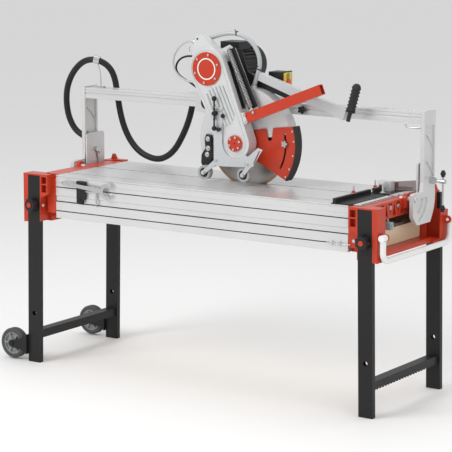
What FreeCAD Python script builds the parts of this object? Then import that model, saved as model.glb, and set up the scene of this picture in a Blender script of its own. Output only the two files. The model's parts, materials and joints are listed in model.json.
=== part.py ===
import FreeCAD, Part
import math
import os

V = FreeCAD.Vector
os.makedirs("parts", exist_ok=True)

# ---------------------------------------------------------------- driving dimensions (mm)
TABLE_Z = 750.0            # working surface above the floor
FRONT_Y = 262.5            # outer face of the legs and corner brackets
PANEL_Y = 231.5            # outer face of the long side extrusions
PANEL_Z0 = 583.0           # bottom edge of the side extrusions
PLANK_X = 656.0            # half length of the table planks
AXIS_Y, AXIS_Z = 34.0, 748.0   # bridge tilt axis, in the blade's plane
BLADE_X, BLADE_Z, BLADE_R = 65.0, 908.0, 175.0
MOTOR_X, MOTOR_Z = -63.0, 1180.0
HINGE_X, HINGE_Z = -150.0, 1035.0   # head plunge pivot on the carriage
POST_X0, POST_X1 = 763.0, 779.0
BEAM_Y0, BEAM_Y1, BEAM_Z0, BEAM_Z1 = 97.0, 165.0, 1013.0, 1055.0
LOCK_Y, LOCK_Z = 147.0, 803.0
LEG_X, LEG_TOP, KNOB_Z = 740.0, 745.0, 632.0
SPLAY = 13.0 / 745.0
HANDLE_X, HANDLE_Z = 808.0, 650.0
SHIFT_X = 39.0             # brings the origin under the middle of the outline
RUN = 0.06                 # radial clearance of a running fit


# ---------------------------------------------------------------- small builders
def box(x0, x1, y0, y1, z0, z1):
    return Part.makeBox(x1 - x0, y1 - y0, z1 - z0, V(x0, y0, z0))


def rod(x, y, z, axis, r, length):
    return Part.makeCylinder(r, length, V(x, y, z), V(*axis))


def tube(x, y, z, axis, r, bore, length):
    d = V(*axis)
    start = V(x, y, z)
    hole = Part.makeCylinder(bore, length + 4, start - d * 2, d)
    return Part.makeCylinder(r, length, start, d).cut(hole)


def slab_y(pts, y0, y1):
    face = Part.Face(Part.makePolygon([V(x, y0, z) for x, z in pts + pts[:1]]))
    return face.extrude(V(0, y1 - y0, 0))


def slab_x(pts, x0, x1):
    face = Part.Face(Part.makePolygon([V(x0, y, z) for y, z in pts + pts[:1]]))
    return face.extrude(V(x1 - x0, 0, 0))


def slab_z(pts, z0, z1):
    face = Part.Face(Part.makePolygon([V(x, y, z0) for x, y in pts + pts[:1]]))
    return face.extrude(V(0, 0, z1 - z0))


def join(shapes):
    out = shapes[0].multiFuse(shapes[1:]) if len(shapes) > 1 else shapes[0]
    return out.removeSplitter()


def carve(shape, tools):
    for t in tools:
        shape = shape.cut(t)
    return shape


def at(cx, cz, radius, degrees):
    a = math.radians(degrees)
    return cx + radius * math.cos(a), cz + radius * math.sin(a)


def arc(cx, cz, radius, start, end, steps=24):
    return [at(cx, cz, radius, start + (end - start) * i / steps) for i in range(steps + 1)]


def link(ax, az, ra, bx, bz, rb, y0, y1):
    """Two discs and their common tangents, as one slab along Y."""
    dx, dz = bx - ax, bz - az
    dist = math.hypot(dx, dz)
    way = math.degrees(math.atan2(dz, dx))
    lean = math.degrees(math.acos((ra - rb) / dist))
    p = [at(ax, az, ra, way + lean), at(bx, bz, rb, way + lean),
         at(bx, bz, rb, way - lean), at(ax, az, ra, way - lean)]
    return join([slab_y(p, y0, y1), rod(ax, y0, az, (0, 1, 0), ra, y1 - y0),
                 rod(bx, y0, bz, (0, 1, 0), rb, y1 - y0)])


def mirror_x(shape):
    return shape.mirror(V(0, 0, 0), V(1, 0, 0))


def mirror_y(shape):
    return shape.mirror(V(0, 0, 0), V(0, 1, 0))


def hose_wire(points, label, shortest=0.0):
    """Straight runs joined by tangent arcs."""
    p = [V(*q) for q in points]
    edges, here, radii = [], p[0], []
    for i in range(1, len(p) - 1):
        a, b = (p[i - 1] - p[i]), (p[i + 1] - p[i])
        short = min(a.Length, b.Length)
        a.normalize()
        b.normalize()
        turn = math.pi - a.getAngle(b)
        back = 0.45 * short
        radii.append(back / math.tan(turn / 2))
        start, end = p[i] + a * back, p[i] + b * back
        mid_dir = (a + b)
        mid_dir.normalize()
        r = radii[-1]
        mid = p[i] + mid_dir * (r / math.cos(turn / 2) - r)
        edges.append(Part.LineSegment(here, start).toShape())
        edges.append(Part.Arc(start, mid, end).toShape())
        here = end
    edges.append(Part.LineSegment(here, p[-1]).toShape())
    wire = Part.Wire(edges)
    print("%s length %.0f mm, radii %s" % (label, wire.Length, " ".join("%.0f" % r for r in radii)))
    return wire


def hose(points, radius, label):
    wire = hose_wire(points, label)
    first = V(*points[1]) - V(*points[0])
    ring = Part.Wire(Part.makeCircle(radius, V(*points[0]), first))
    pipe = wire.makePipeShell([ring], True, True)
    print("%s volume ratio %.4f" % (label, pipe.Volume / (math.pi * radius ** 2 * wire.Length)))
    return pipe


NODES = {}


def node(name, shape):
    NODES[name] = shape


# ---------------------------------------------------------------- table: side panels and planks
def panel_profile():
    """Outer face with its grooves from the top down, then the inner face back up."""
    y = -PANEL_Y
    out = [(y, 750), (y, 746), (y + 3, 746), (y + 3, 743), (y, 743)]
    for z, h, d in ((722.5, 1.5, 1.2), (706, 4, 4)):
        out += [(y, z), (y + d, z), (y + d, z - h), (y, z - h)]
    out += [(y, 671), (y + 3, 668), (y + 3, 650), (y + 5.5, 650), (y + 5.5, 646), (y, 646)]
    out += [(y, 613), (y + 4, 613), (y + 4, 609), (y, 609), (y, PANEL_Z0)]
    return out


outer = panel_profile()
front = outer + [(-200, PANEL_Z0), (-200, 587), (-221, 587), (-221, 741), (-160, 741), (-160, 750)]
node("front_panel", slab_x(front, -PLANK_X, PLANK_X))

rear = [(-y, z) for y, z in outer[5:]]
rear = [(PANEL_Y, 735.7)] + rear + [(200, PANEL_Z0), (200, 587), (221, 587), (221, 735.7)]
node("back_panel", slab_x(rear, -PLANK_X, PLANK_X))


def plank(y0, y1, grooves):
    body = box(-PLANK_X, PLANK_X, y0, y1, 736, TABLE_Z)
    body = body.cut(box(-PLANK_X - 1, PLANK_X + 1, y0 + 6, y1 - 6, 735, 739))
    cuts = []
    for i in range(grooves):
        y = y0 + (y1 - y0) * (i + 1) / (grooves + 1)
        cuts.append(box(-PLANK_X - 1, PLANK_X + 1, y - 1.2, y + 1.2, TABLE_Z - 1.4, TABLE_Z + 1))
    return carve(body, cuts)


# the front plank's back edge is undercut, so that the tilted blade clears it
undercut = slab_x([(28, 746), (21, 739), (21, 735), (28, 735)], -PLANK_X - 1, PLANK_X + 1)
node("front_plank", plank(-150, AXIS_Y - 7, 6).cut(undercut))
node("back_plank", plank(AXIS_Y + 7, PANEL_Y, 7))


# ---------------------------------------------------------------- end frames and corner brackets
def end_frame(right):
    """Lattice beam under the planks' ends, window below it, bar at the bottom."""
    beam = box(PLANK_X + 0.5, 735, -205, 205, 690, 735.6)
    lip = box(PLANK_X + 0.5, 735, -205, 205, 735.6, TABLE_Z)
    beam = join([beam, lip])
    beam = beam.cut(box(PLANK_X + 8, 712, -198, 198, 689, 741))
    cuts = []
    pitch = 58.0
    for i in range(7):
        y = -203 + pitch * i
        for flip in (0, 1):
            a, b = y + 5 + flip * 29, y + 24 + 5 + flip * 29
            za, zb = (743, 697) if flip == 0 else (697, 743)
            tri = [(a, za), (b, za), ((a + b) / 2, zb)]
            if b < 203:
                cuts.append(slab_x(tri, 718, 736))
    beam = carve(beam, cuts)
    bar = box(700, 757, -205, 205, 563, 582)
    bar = bar.cut(box(706, 751, -199, 199, 562, 577))
    struts = [box(712, 735, y0, y0 + 7, 582, 690) for y0 in (-205, 198)]
    web = [box(PLANK_X + 0.5, 712, y0, y0 + 5, 582, 690) for y0 in (-205, 200)]
    boss = rod(735, AXIS_Y, AXIS_Z, (1, 0, 0), 19, 15)
    foot = box(719, 750, AXIS_Y - 19, AXIS_Y + 19, 716, AXIS_Z)
    top = join([beam, boss, foot]).cut(rod(716, AXIS_Y, AXIS_Z, (1, 0, 0), 8, 40))
    shape = Part.makeCompound([top, bar] + struts + web)
    return shape if right else mirror_x(shape)


def bracket(front_side, right):
    """Corner bracket: pocketed inner block, leg socket, outer strip with the handle boss."""
    y0, y1 = -FRONT_Y, -205.5
    x0, x1 = 675, 792
    top = 752
    solid = [(x0, top), (x0, 676), (706, 660), (711, 640), (711, 567), (x1, 560), (x1, top)]
    body = slab_y(solid, y0, y1)
    inner = box(x0 - 1, 711, -FRONT_Y + 31, y1 + 1, 740, top + 1)
    gap, low, high = 0.4, 540, LEG_TOP + 1.5
    lean = [(LEG_X + SPLAY * (LEG_TOP - z) + s * (29 + gap), z)
            for s, z in ((-1, low), (1, low), (1, high), (-1, high))]
    socket = slab_y(lean, y0 - 1, y0 + 20.5)
    cuts = [inner, socket]
    for z0, z1 in ((716, 742), (682, 711)):
        cuts.append(box(x0 + 5, 704, y0 - 1, y0 + 22, z0, z1))
    cuts.append(box(712, 787, y0 + 25, y1 + 1, 580, 742))
    body = carve(body, cuts)
    link_plate = box(PLANK_X + 0.5, 700, -FRONT_Y + 32, y1, 600, 735)
    body = join([body, link_plate.cut(box(664, 694, -FRONT_Y + 38, y1 + 1, 606, 729))])
    if not front_side:
        body = body.cut(box(756, x1 + 1, y0 - 1, y1 + 1, 684, top + 1))
        ear = slab_y([(722, 752), (752, 752), (744, 772), (734, 772)], y0 + 4, y0 + 12)
        body = join([body, ear])
    if right:
        ear = join([box(x1 - 6, HANDLE_X, y0 + 27, y0 + 33, 636, 664),
                    rod(HANDLE_X, y0 + 27, HANDLE_Z, (0, 1, 0), 14, 6)])
        body = join([body, ear.cut(rod(HANDLE_X, y0 + 26, HANDLE_Z, (0, 1, 0), 6, 8))])
    if not front_side:
        body = mirror_y(body)
    return body if right else mirror_x(body)


for side, right in (("right", True), ("left", False)):
    node(side + "_end_frame",
         Part.makeCompound(end_frame(right).Solids + [bracket(True, right), bracket(False, right)]))

# quadrant plates with the tilt slot, and the pivot pins
slot_r = math.hypot(LOCK_Y - AXIS_Y, LOCK_Z - AXIS_Z)
slot_a = math.degrees(math.atan2(LOCK_Z - AXIS_Z, LOCK_Y - AXIS_Y))


def quadrant(right):
    outline = [(90, 692), (90, 866), (112, 872), (196, 872), (205, 862)]
    outline += [(205, 740), (196, 706), (186, 692)]
    plate = slab_x(outline, 751, 757)
    ends = [at(AXIS_Y, AXIS_Z, slot_r, a) for a in (slot_a + 1.0, slot_a - 46.0)]
    ring = arc(AXIS_Y, AXIS_Z, slot_r + 6.3, slot_a + 1, slot_a - 46)
    ring += arc(AXIS_Y, AXIS_Z, slot_r - 6.3, slot_a - 46, slot_a + 1)
    cut = join([slab_x(ring, 750, 758)] + [rod(750, y, z, (1, 0, 0), 6.3, 8) for y, z in ends])
    spacer = [box(735, 751, 94, 112, 700, 735), box(735, 751, 192, 203, 716, 735)]
    plate = join([plate.cut(cut)] + spacer)
    return plate if right else mirror_x(plate)


def pivot_pin(right):
    pin = join([rod(717, AXIS_Y, AXIS_Z, (1, 0, 0), 8 - RUN, 62.4),
                rod(779.4, AXIS_Y, AXIS_Z, (1, 0, 0), 12, 6)])
    pin = pin.cut(rod(782, AXIS_Y, AXIS_Z, (1, 0, 0), 4, 6))
    return pin if right else mirror_x(pin)


for side, right in (("right", True), ("left", False)):
    node(side + "_quadrant", Part.makeCompound([quadrant(right), pivot_pin(right)]))

# ---------------------------------------------------------------- legs, knobs, wheels, handle
def leg(right, y0, y1):
    foot = LEG_X + SPLAY * LEG_TOP
    p = [(LEG_X - 29, LEG_TOP), (LEG_X + 29, LEG_TOP), (foot + 29, 0), (foot - 29, 0)]
    skin = slab_y(p, y0, y1)
    q = [(LEG_X - 27, LEG_TOP + 1), (LEG_X + 27, LEG_TOP + 1), (foot + 27, -1), (foot - 27, -1)]
    core = slab_y(q, y0 + 2, y1 - 2)
    caps = [box(LEG_X - 27, LEG_X + 27, y0 + 2, y1 - 2, LEG_TOP - 6, LEG_TOP - 1),
            slab_y([(foot - 27.4, 0), (foot + 26.6, 0), (foot + 26.4, 12), (foot - 27.6, 12)],
                   y0 + 2, y1 - 2)]
    hole_x = LEG_X + SPLAY * (LEG_TOP - 197)
    out = join([skin.cut(core)] + caps)
    out = out.cut(rod(hole_x, y0 - 1, 197, (0, 1, 0), 9, y1 - y0 + 2))
    return out


def leg_frame(right):
    """Two flat tubes and the toothed cross bar between their feet."""
    legs = []
    for y0, y1 in ((-FRONT_Y, -FRONT_Y + 20), (FRONT_Y - 20, FRONT_Y)):
        one = leg(right, y0, y1)
        kx = LEG_X + SPLAY * (LEG_TOP - KNOB_Z)
        one = one.cut(rod(kx, y0 - 1, KNOB_Z, (0, 1, 0), 5, 22))
        legs.append(one)
    return legs


def cross_bar(teeth):
    x0 = 731
    bar = box(x0, x0 + 40, -242.5, 242.5, 96, 128)
    bar = bar.cut(box(x0 + 3, x0 + 37, -243, 243, 95, 125))
    cuts = []
    if teeth:
        for i in range(22):
            y = -225 + i * 20.5
            cuts.append(slab_x([(y, 95), (y + 13, 95), (y + 6.5, 104)], x0 + 36, x0 + 41))
    return carve(bar, cuts)


kx = LEG_X + SPLAY * (LEG_TOP - KNOB_Z)
node("right_legs", Part.makeCompound(leg_frame(True) + [cross_bar(True)]))
node("left_legs", mirror_x(Part.makeCompound(leg_frame(True) + [cross_bar(False)])))


def leg_knob(right, front_side):
    """Seven-lobed clamping knob with a cap in the middle, its stud in the leg."""
    y = -FRONT_Y - 4
    core = rod(kx, y - 24, KNOB_Z, (0, 1, 0), 22, 24)
    lobes = [rod(x, y - 20, z, (0, 1, 0), 8, 18)
             for x, z in arc(kx, KNOB_Z, 19, 0, 360 * 6 / 7.0, 6)]
    neck = rod(kx, y, KNOB_Z, (0, 1, 0), 12, 3.6)
    stud = rod(kx, y + 3.6, KNOB_Z, (0, 1, 0), 5 - RUN, 19)
    knob = join([core, neck, stud] + lobes)
    knob = join([knob, rod(kx, y - 26, KNOB_Z, (0, 1, 0), 9, 3)])
    if not front_side:
        knob = mirror_y(knob)
    return knob if right else mirror_x(knob)


for side, right in (("right", True), ("left", False)):
    for end, fr in (("front", True), ("back", False)):
        node("%s_%s_knob" % (side, end), leg_knob(right, fr))

# transport wheels on the outer side of the left legs
WHEEL_X, WHEEL_Z, WHEEL_R = -858.0, 64.0, 60.0
WHEEL_W = 36.0


def wheel(y):
    tyre = tube(WHEEL_X, y - WHEEL_W / 2, WHEEL_Z, (0, 1, 0), WHEEL_R, WHEEL_R - 16, WHEEL_W)
    tyre = tyre.makeFillet(5, [e for e in tyre.Edges
                               if abs(e.Length - 2 * math.pi * WHEEL_R) < 1])
    hub = tube(WHEEL_X, y - 14, WHEEL_Z, (0, 1, 0), WHEEL_R - 16, 6, 28)
    dish = [tube(WHEEL_X, a, WHEEL_Z, (0, 1, 0), WHEEL_R - 21, 14, 9) for a in (y - 14.5, y + 5.5)]
    return tyre, carve(hub, dish)


def wheel_fork(y):
    """Two cheeks from the leg to the axle."""
    cheeks = []
    for a in (y - 24, y + 20):
        arm = link(WHEEL_X, WHEEL_Z, 14, -800, WHEEL_Z + 4, 24, a, a + 4)
        arm = join([arm, box(-800, -781.6, a, a + 4, 34, 104)])
        cheeks.append(arm.cut(box(-781.7, -760, a - 1, a + 5, 20, 120)))
    back = box(-786.5, -781.7, y - 24, y + 24, 30, 108)
    shape = join([back] + cheeks)
    return carve(shape, [rod(WHEEL_X, y - 25, WHEEL_Z, (0, 1, 0), 5.94, 50)])


def axle(y):
    shaft = rod(WHEEL_X, y - 29, WHEEL_Z, (0, 1, 0), 5.94, 58)
    heads = [rod(WHEEL_X, a, WHEEL_Z, (0, 1, 0), 9, 5) for a in (y - 29, y + 24)]
    return join([shaft] + heads)


forks = []
for end, y in (("front", -FRONT_Y + 10), ("back", FRONT_Y - 10)):
    tyre, hub = wheel(y)
    node(end + "_wheel_tyre", tyre)
    node(end + "_wheel_hub", hub)
    forks += [wheel_fork(y), axle(y)]
node("left_legs", Part.makeCompound(NODES["left_legs"].Solids + forks))

# folding carry handle on the right end
hy, drop = FRONT_Y - 13.0, 84.0
path = hose_wire([(HANDLE_X, -hy, HANDLE_Z - 10), (HANDLE_X, -hy, HANDLE_Z - drop),
                  (HANDLE_X, hy, HANDLE_Z - drop), (HANDLE_X, hy, HANDLE_Z - 10)], "carry handle")
loop = path.makePipeShell(
    [Part.Wire(Part.makeCircle(11, V(HANDLE_X, -hy, HANDLE_Z - 10), V(0, 0, -1)))], True, True)
ends = []
for s in (-1, 1):
    ends.append(rod(HANDLE_X, s * hy - 13, HANDLE_Z, (0, 1, 0), 12.5, 26))
    ends.append(rod(HANDLE_X, s * (hy - 13) - (9 if s > 0 else 0), HANDLE_Z, (0, 1, 0), 6 - RUN, 9))
node("carry_handle", join([loop] + ends))

# ---------------------------------------------------------------- water tank, fence, tools
tank = box(-712, 712, -195, 195, 583, 645)
tank = tank.cut(box(-708, 708, -191, 191, 587, 646))
grips = [box(712, 718, -150, -60, 632, 645)]
node("water_tank", join([tank] + grips))

rail = box(586, 612, -232, 226, TABLE_Z + 0.3, TABLE_Z + 4)
rail = join([rail, box(592, 604, -232, 226, TABLE_Z + 4, 771),
             box(612, 664, -228, 226, TABLE_Z + 0.3, TABLE_Z + 5)])
cuts = [box(580, 700, AXIS_Y - 13, AXIS_Y + 13, TABLE_Z - 1, 775), rod(628, 146, 745, (0, 0, 1), 4 + RUN, 12)]
cuts += [box(604 - 2, 606, -226 + 9 * i, -222 + 9 * i, 757, 768) for i in range(27)]
cuts.append(box(590, 593.5, -230, 224, 758, 764))
rail = carve(rail, cuts)
node("fence_rail", rail)

strip = box(666, 700, -214, 226, TABLE_Z + 0.3, TABLE_Z + 3)
strip = strip.cut(box(660, 705, AXIS_Y - 13, AXIS_Y + 13, TABLE_Z, TABLE_Z + 5))
post_pin = join([rod(630, 60, TABLE_Z + 5, (0, 0, 1), 9, 4),
                 rod(630, 60, TABLE_Z + 9, (0, 0, 1), 3.5, 30)])
node("scale_strip", Part.makeCompound([strip, post_pin]))

stop = box(606.4, 640, 101, 129, 755.4, 792)
stop = stop.cut(box(600, 630, 107, 123, 750, 786))
stop = join([stop, slab_y([(606.4, 792), (606.4, 778), (584, 778), (584, 792)], 101, 129)])
stop = join([stop, box(584, 590.5, 101, 129, 760, 792)])
node("fence_stop", stop)

wedge = slab_z([(616, 134), (662, 134), (716, 200), (690, 224), (616, 224)], 756, 758)
wedge = join([wedge, rod(628, 146, 752, (0, 0, 1), 4, 4),
              slab_z([(620, 138), (626, 134), (690, 218), (684, 222)], 758, 786)])
node("protractor", wedge)

holder = join([box(-548, -520, -241.5, -PANEL_Y - 0.3, 651, 737),
               box(-520, -505, -241.5, -235, 668, 737)])
holder = join([holder] + [rod(-534, -245, z, (0, 1, 0), 5, 4) for z in (726, 664)])
node("tool_holder", holder)
jaw = tube(-396, -243, 708, (0, 1, 0), 31, 17, 6)
jaw = jaw.cut(slab_y([(-396, 706), (-360, 742), (-350, 705), (-362, 674), (-372, 672)], -250, -230))
shank = slab_y([(-600, 719), (-600, 731), (-425, 718), (-425, 700)], -249, -243)
ring = tube(-604, -249, 725, (0, 1, 0), 10, 5, 6)
spanner = join([jaw.translated(V(0, -8, 0)), shank.translated(V(0, -2, 0)), ring.translated(V(0, -2, 0))]).cut(rod(-604, -256, 725, (0, 1, 0), 5, 16))
key = join([box(-504.5, -452, -241, -236, 697, 702), box(-457, -452, -241, -236, 645, 702)])
node("hand_tools", Part.makeCompound([spanner, key]))


# ---------------------------------------------------------------- bridge: posts, beam, clamps
def post(right):
    """Cast end of the bridge: column, quarter sector round the tilt axis, ribbed pockets."""
    y0, y1 = 95.0, 178.0
    rim = arc(AXIS_Y, AXIS_Z, 150, 16, -38, 16)
    out = [(y0, 1060), (y1, 1060)] + rim + [(150, 650), (50, 650), (19, 682), (19, 762)]
    out += [(28, 766), (90, 768), (y0, 800)]
    body = slab_x(out, POST_X0, POST_X1)
    cuts = []
    tall = [(y0 + 9, 1004), (y1 - 9, 1004), (y1 - 9, 815), (y0 + 9, 815)]
    for a, b in ((POST_X0 - 1, POST_X0 + 5.5), (POST_X1 - 5.5, POST_X1 + 1)):
        pocket = slab_x(tall, a, b)
        ribs = []
        for za in (985, 890):
            strip = [(y0 + (y1 - y0) * t / 6.0, za - 75 * (t / 6.0) ** 1.6) for t in range(7)]
            under = [(y, z - 6) for y, z in reversed(strip)]
            ribs.append(slab_x(strip + under, a - 1, b + 1))
        cuts.append(carve(pocket, ribs))
        for r0, r1 in ((24, 60), (66, 92)):
            ring = arc(AXIS_Y, AXIS_Z, r1, -2, -72, 12) + arc(AXIS_Y, AXIS_Z, r0, -72, -2, 12)
            cuts.append(slab_x(ring, a, b))
    body = carve(body, cuts)
    body = body.cut(rod(POST_X0 - 1, AXIS_Y, AXIS_Z, (1, 0, 0), 8, 20))
    body = body.cut(rod(POST_X0 - 1, LOCK_Y, LOCK_Z, (1, 0, 0), 6, 20))
    return body if right else mirror_x(body)


node("right_post", post(True))
node("left_post", post(False))

ym, half = (BEAM_Y0 + BEAM_Y1) / 2, (BEAM_Y1 - BEAM_Y0) / 2
beam = box(-POST_X0, POST_X0, BEAM_Y0, BEAM_Y1, BEAM_Z0, BEAM_Z1)
grooves = [box(-POST_X0 - 1, POST_X0 + 1, BEAM_Y0 - 1, BEAM_Y0 + 4, 1030, 1037),
           box(-POST_X0 - 1, POST_X0 + 1, BEAM_Y0 - 1, BEAM_Y0 + 2, 1044, 1048),
           box(-POST_X0 - 1, POST_X0 + 1, BEAM_Y1 - 4, BEAM_Y1 + 1, 1030, 1037),
           box(-POST_X0 - 1, POST_X0 + 1, ym - 8, ym + 8, BEAM_Z1 - 4, BEAM_Z1 + 1),
           box(-POST_X0 - 1, POST_X0 + 1, ym - 24, ym + 24, BEAM_Z0 + 6, BEAM_Z1 - 9)]
node("bridge_beam", carve(beam, grooves))

wire = hose_wire([(-708, ym, BEAM_Z1 + 5), (-709, ym, BEAM_Z1 + 60), (-726, 134, 1150)],
                 "hose support")
hang, hang_dir = V(-731, 136, 1165), V(-0.93, -0.37, 0.21)
stand = wire.makePipeShell([Part.Wire(Part.makeCircle(2, V(-708, ym, BEAM_Z1 + 5), V(0, 0, 1)))],
                           True, True)
foot = box(-725, -692, ym - 7.5, ym + 7.5, BEAM_Z1 - 3.9, BEAM_Z1 + 6)
clip = Part.makeCylinder(16.5, 24, hang - hang_dir * 12, hang_dir)
clip = clip.cut(Part.makeCylinder(12.6, 30, hang - hang_dir * 15, hang_dir))
node("hose_support", join([stand, foot, clip]))


def tilt_clamp(right):
    """Screw through post and slot, nut inside, sliding tommy bar with a ball at each end."""
    y, z = LOCK_Y, LOCK_Z
    screw = rod(741, y, z, (1, 0, 0), 6 - RUN, 78)
    nut = rod(741.5, y, z, (1, 0, 0), 11, 9)
    collar = tube(POST_X1 + 0.4, y, z, (1, 0, 0), 12, 5, 20)
    head = rod(818, y, z, (1, 0, 0), 8, 22)
    bar = rod(830, y, z - 96, (0, 0, 1), 3.5, 120)
    balls = [Part.makeSphere(9.5, V(830, y, c)) for c in (z - 100, z + 28)]
    out = join([screw, nut, collar, head, bar] + balls)
    return out if right else mirror_x(out)


def lever_clamp():
    """Low bolt head outside, nut with a short cranked lever inside."""
    y, z = LOCK_Y, LOCK_Z
    screw = rod(741, y, z, (1, 0, 0), 6 - RUN, 40)
    head = rod(POST_X1 + 0.4, y, z, (1, 0, 0), 10, 6)
    nut = rod(739.5, y, z, (1, 0, 0), 10, 11)
    lever = slab_x([(y - 4, z + 6), (y + 8, z + 4), (y + 20, z - 12), (y + 15, z - 19), (y + 6, z - 8)],
                   739.5, 745)
    return mirror_x(join([screw, head, nut, lever]))


node("right_tilt_clamp", tilt_clamp(True))
node("left_tilt_clamp", lever_clamp())

# ---------------------------------------------------------------- carriage on the beam
CX0, CX1 = -212.0, 140.0
shell = box(CX0, CX1, 84, 178, 1001, 1068)
room = [box(CX0 - 1, CX1 + 1, 93, 169, 1008, 1060), box(CX0 - 1, CX1 + 1, 104, 158, 1000, 1009)]
cheek = slab_y([(CX0, 997), (CX0, 1076), (-165, 1076), (-142, 1058), (-118, 1010), (-128, 994)],
               80, 84.0)
rollers = [rod(x, 96 + 2, 1057.6, (0, 1, 0), 2.3, 66) for x in (CX0 + 20, CX0 + 60, CX1 - 60, CX1 - 20)]
pads = [box(x - 14, x + 14, 93, 96.7, 1016, 1028) for x in (CX0 + 30, CX1 - 30)]
body = join([carve(shell, room), cheek, rod(HINGE_X, 70, HINGE_Z, (0, 1, 0), 22, 12)])
right_wing = slab_y([(54, 1068), (54, 1086), (128, 1078), (140, 1058), (140, 1010), (110, 1001),
                     (54, 1001)], 80, 84.0)
body = join([body, right_wing] + pads)
body = body.cut(rod(HINGE_X, 66, HINGE_Z, (0, 1, 0), 9, 27))
node("carriage", Part.makeCompound([body] + rollers))

# ---------------------------------------------------------------- head: case, motor, guards
CASE_Y0, CASE_Y1 = -60.0, -8.0
case = link(MOTOR_X, MOTOR_Z, 80, BLADE_X, BLADE_Z, 60, CASE_Y0, CASE_Y1)
lug = slab_y([(-133, 1160), (-133, 1255), (-118, 1300), (-98, 1304), (-40, 1262), (0, 1222)],
             CASE_Y0 + 6, CASE_Y1)
case = join([case, lug])
hollow = link(MOTOR_X, MOTOR_Z, 74, BLADE_X, BLADE_Z, 54, CASE_Y0 + 5, CASE_Y1 - 5)
case = case.cut(hollow)
rim = link(MOTOR_X, MOTOR_Z, 71, BLADE_X, BLADE_Z, 49, CASE_Y0 - 1, CASE_Y0 + 1.5)
inner_rim = link(MOTOR_X, MOTOR_Z, 66, BLADE_X, BLADE_Z, 44, CASE_Y0 - 2, CASE_Y0 + 2)
case = case.cut(rim.cut(inner_rim))
case = case.cut(rod(-111, CASE_Y0 - 1, 1290, (0, 1, 0), 4.5, 60))
case = case.cut(rod(MOTOR_X, CASE_Y1 - 8, MOTOR_Z, (0, 1, 0), 30, 10))
case = case.cut(rod(BLADE_X, CASE_Y1 - 8, BLADE_Z, (0, 1, 0), 20, 10))
neck = tube(MOTOR_X, CASE_Y1, MOTOR_Z, (0, 1, 0), 44, 30, 62 + 8)
sleeve = tube(BLADE_X, CASE_Y1 - 5, BLADE_Z, (0, 1, 0), 22, 12 + RUN, 17)
sides = [slab_y([(80, 1024), (103, 1024), (116.5, 987), (98, 978)], -56, -38)]
node("belt_case", join([case, neck, sleeve] + sides))


def cover(x, z, r, y, screws, screw_r):
    disc = rod(x, y, z, (0, 1, 0), r, CASE_Y0 - y)
    heads = [rod(a, y - 2.5, b, (0, 1, 0), 4, 3.5) for a, b in arc(x, z, screw_r, 20, 320, screws - 1)]
    return join([disc] + heads)


upper = cover(MOTOR_X, MOTOR_Z, 63, CASE_Y0 - 5, 6, 53)
upper = upper.cut(tube(MOTOR_X, CASE_Y0 - 6, MOTOR_Z, (0, 1, 0), 41, 36, 2.5))
lower = cover(BLADE_X, BLADE_Z, 30.5, CASE_Y0 - 7, 6, 23)
lower = lower.cut(rod(BLADE_X, CASE_Y0 - 8, BLADE_Z, (0, 1, 0), 4, 5))
node("case_covers", Part.makeCompound([upper, lower]))

plate = slab_y([(HINGE_X - 24, HINGE_Z - 8), (HINGE_X - 24, HINGE_Z + 30), (-140, 1250), (10, 1250),
                (40, 1165), (150, 1120), (150, 1092), (0, 1098), (-90, 1080),
                (HINGE_X + 20, HINGE_Z - 18)], 62, 68)
plate = join([plate, rod(HINGE_X, 62, HINGE_Z, (0, 1, 0), 25, 6),
              rod(HINGE_X, 52, HINGE_Z, (0, 1, 0), 14, 10),
              rod(HINGE_X, 68, HINGE_Z, (0, 1, 0), 9 - RUN, 24)])
plate = plate.cut(rod(MOTOR_X, 60, MOTOR_Z, (0, 1, 0), 30, 10))
node("head_plate", plate)

ribs = []
motor = rod(MOTOR_X, 68, MOTOR_Z, (0, 1, 0), 66, 130)
for i in range(28):
    a = math.radians(360.0 * i / 28)
    fin = box(0, 8, 80, 190, -1.4, 1.4)
    fin.rotate(V(0, 0, 0), V(0, 1, 0), math.degrees(a))
    fin.translate(V(MOTOR_X + 65 * math.cos(a), 0, MOTOR_Z - 65 * math.sin(a)))
    ribs.append(fin)
motor = motor.multiFuse(ribs)
hood = tube(MOTOR_X, 198, MOTOR_Z, (0, 1, 0), 75, 71, 40)
hood = join([hood, rod(MOTOR_X, 236, MOTOR_Z, (0, 1, 0), 75, 3)])
vents = [rod(x, 234, z, (0, 1, 0), 6, 8) for r, n in ((24, 8), (48, 14))
         for x, z in arc(MOTOR_X, MOTOR_Z, r, 0, 360.0 * (n - 1) / n, n - 1)]
hood = carve(hood, vents)
box_top = box(MOTOR_X - 40, MOTOR_X + 45, 90, 170, MOTOR_Z + 62, MOTOR_Z + 92)
node("motor", Part.makeCompound([join([motor, box_top]).cut(rod(MOTOR_X, 67, MOTOR_Z, (0, 1, 0), 22, 10)),
                                 hood]))

G_Y0, G_Y1, G_R = 7.0, 60.0, 205.0
fan = [(BLADE_X, BLADE_Z)] + arc(BLADE_X, BLADE_Z, G_R, 12, 214, 40)
fan_in = [(BLADE_X, BLADE_Z)] + arc(BLADE_X, BLADE_Z, G_R - 3, 8, 218, 40)
guard = slab_y(fan, G_Y0, G_Y1).cut(slab_y(fan_in, G_Y0 + 3, G_Y1 - 3))
guard = guard.cut(rod(BLADE_X, G_Y0 - 1, BLADE_Z, (0, 1, 0), 24, 60))
boss = tube(BLADE_X, G_Y0, BLADE_Z, (0, 1, 0), 34, 24, 3)
guard = join([guard, boss, slab_y([(-60, 1020), (-20, 1068), (-60, 1100), (-100, 1060)], 57, 62)])
node("upper_guard", guard)


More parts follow.
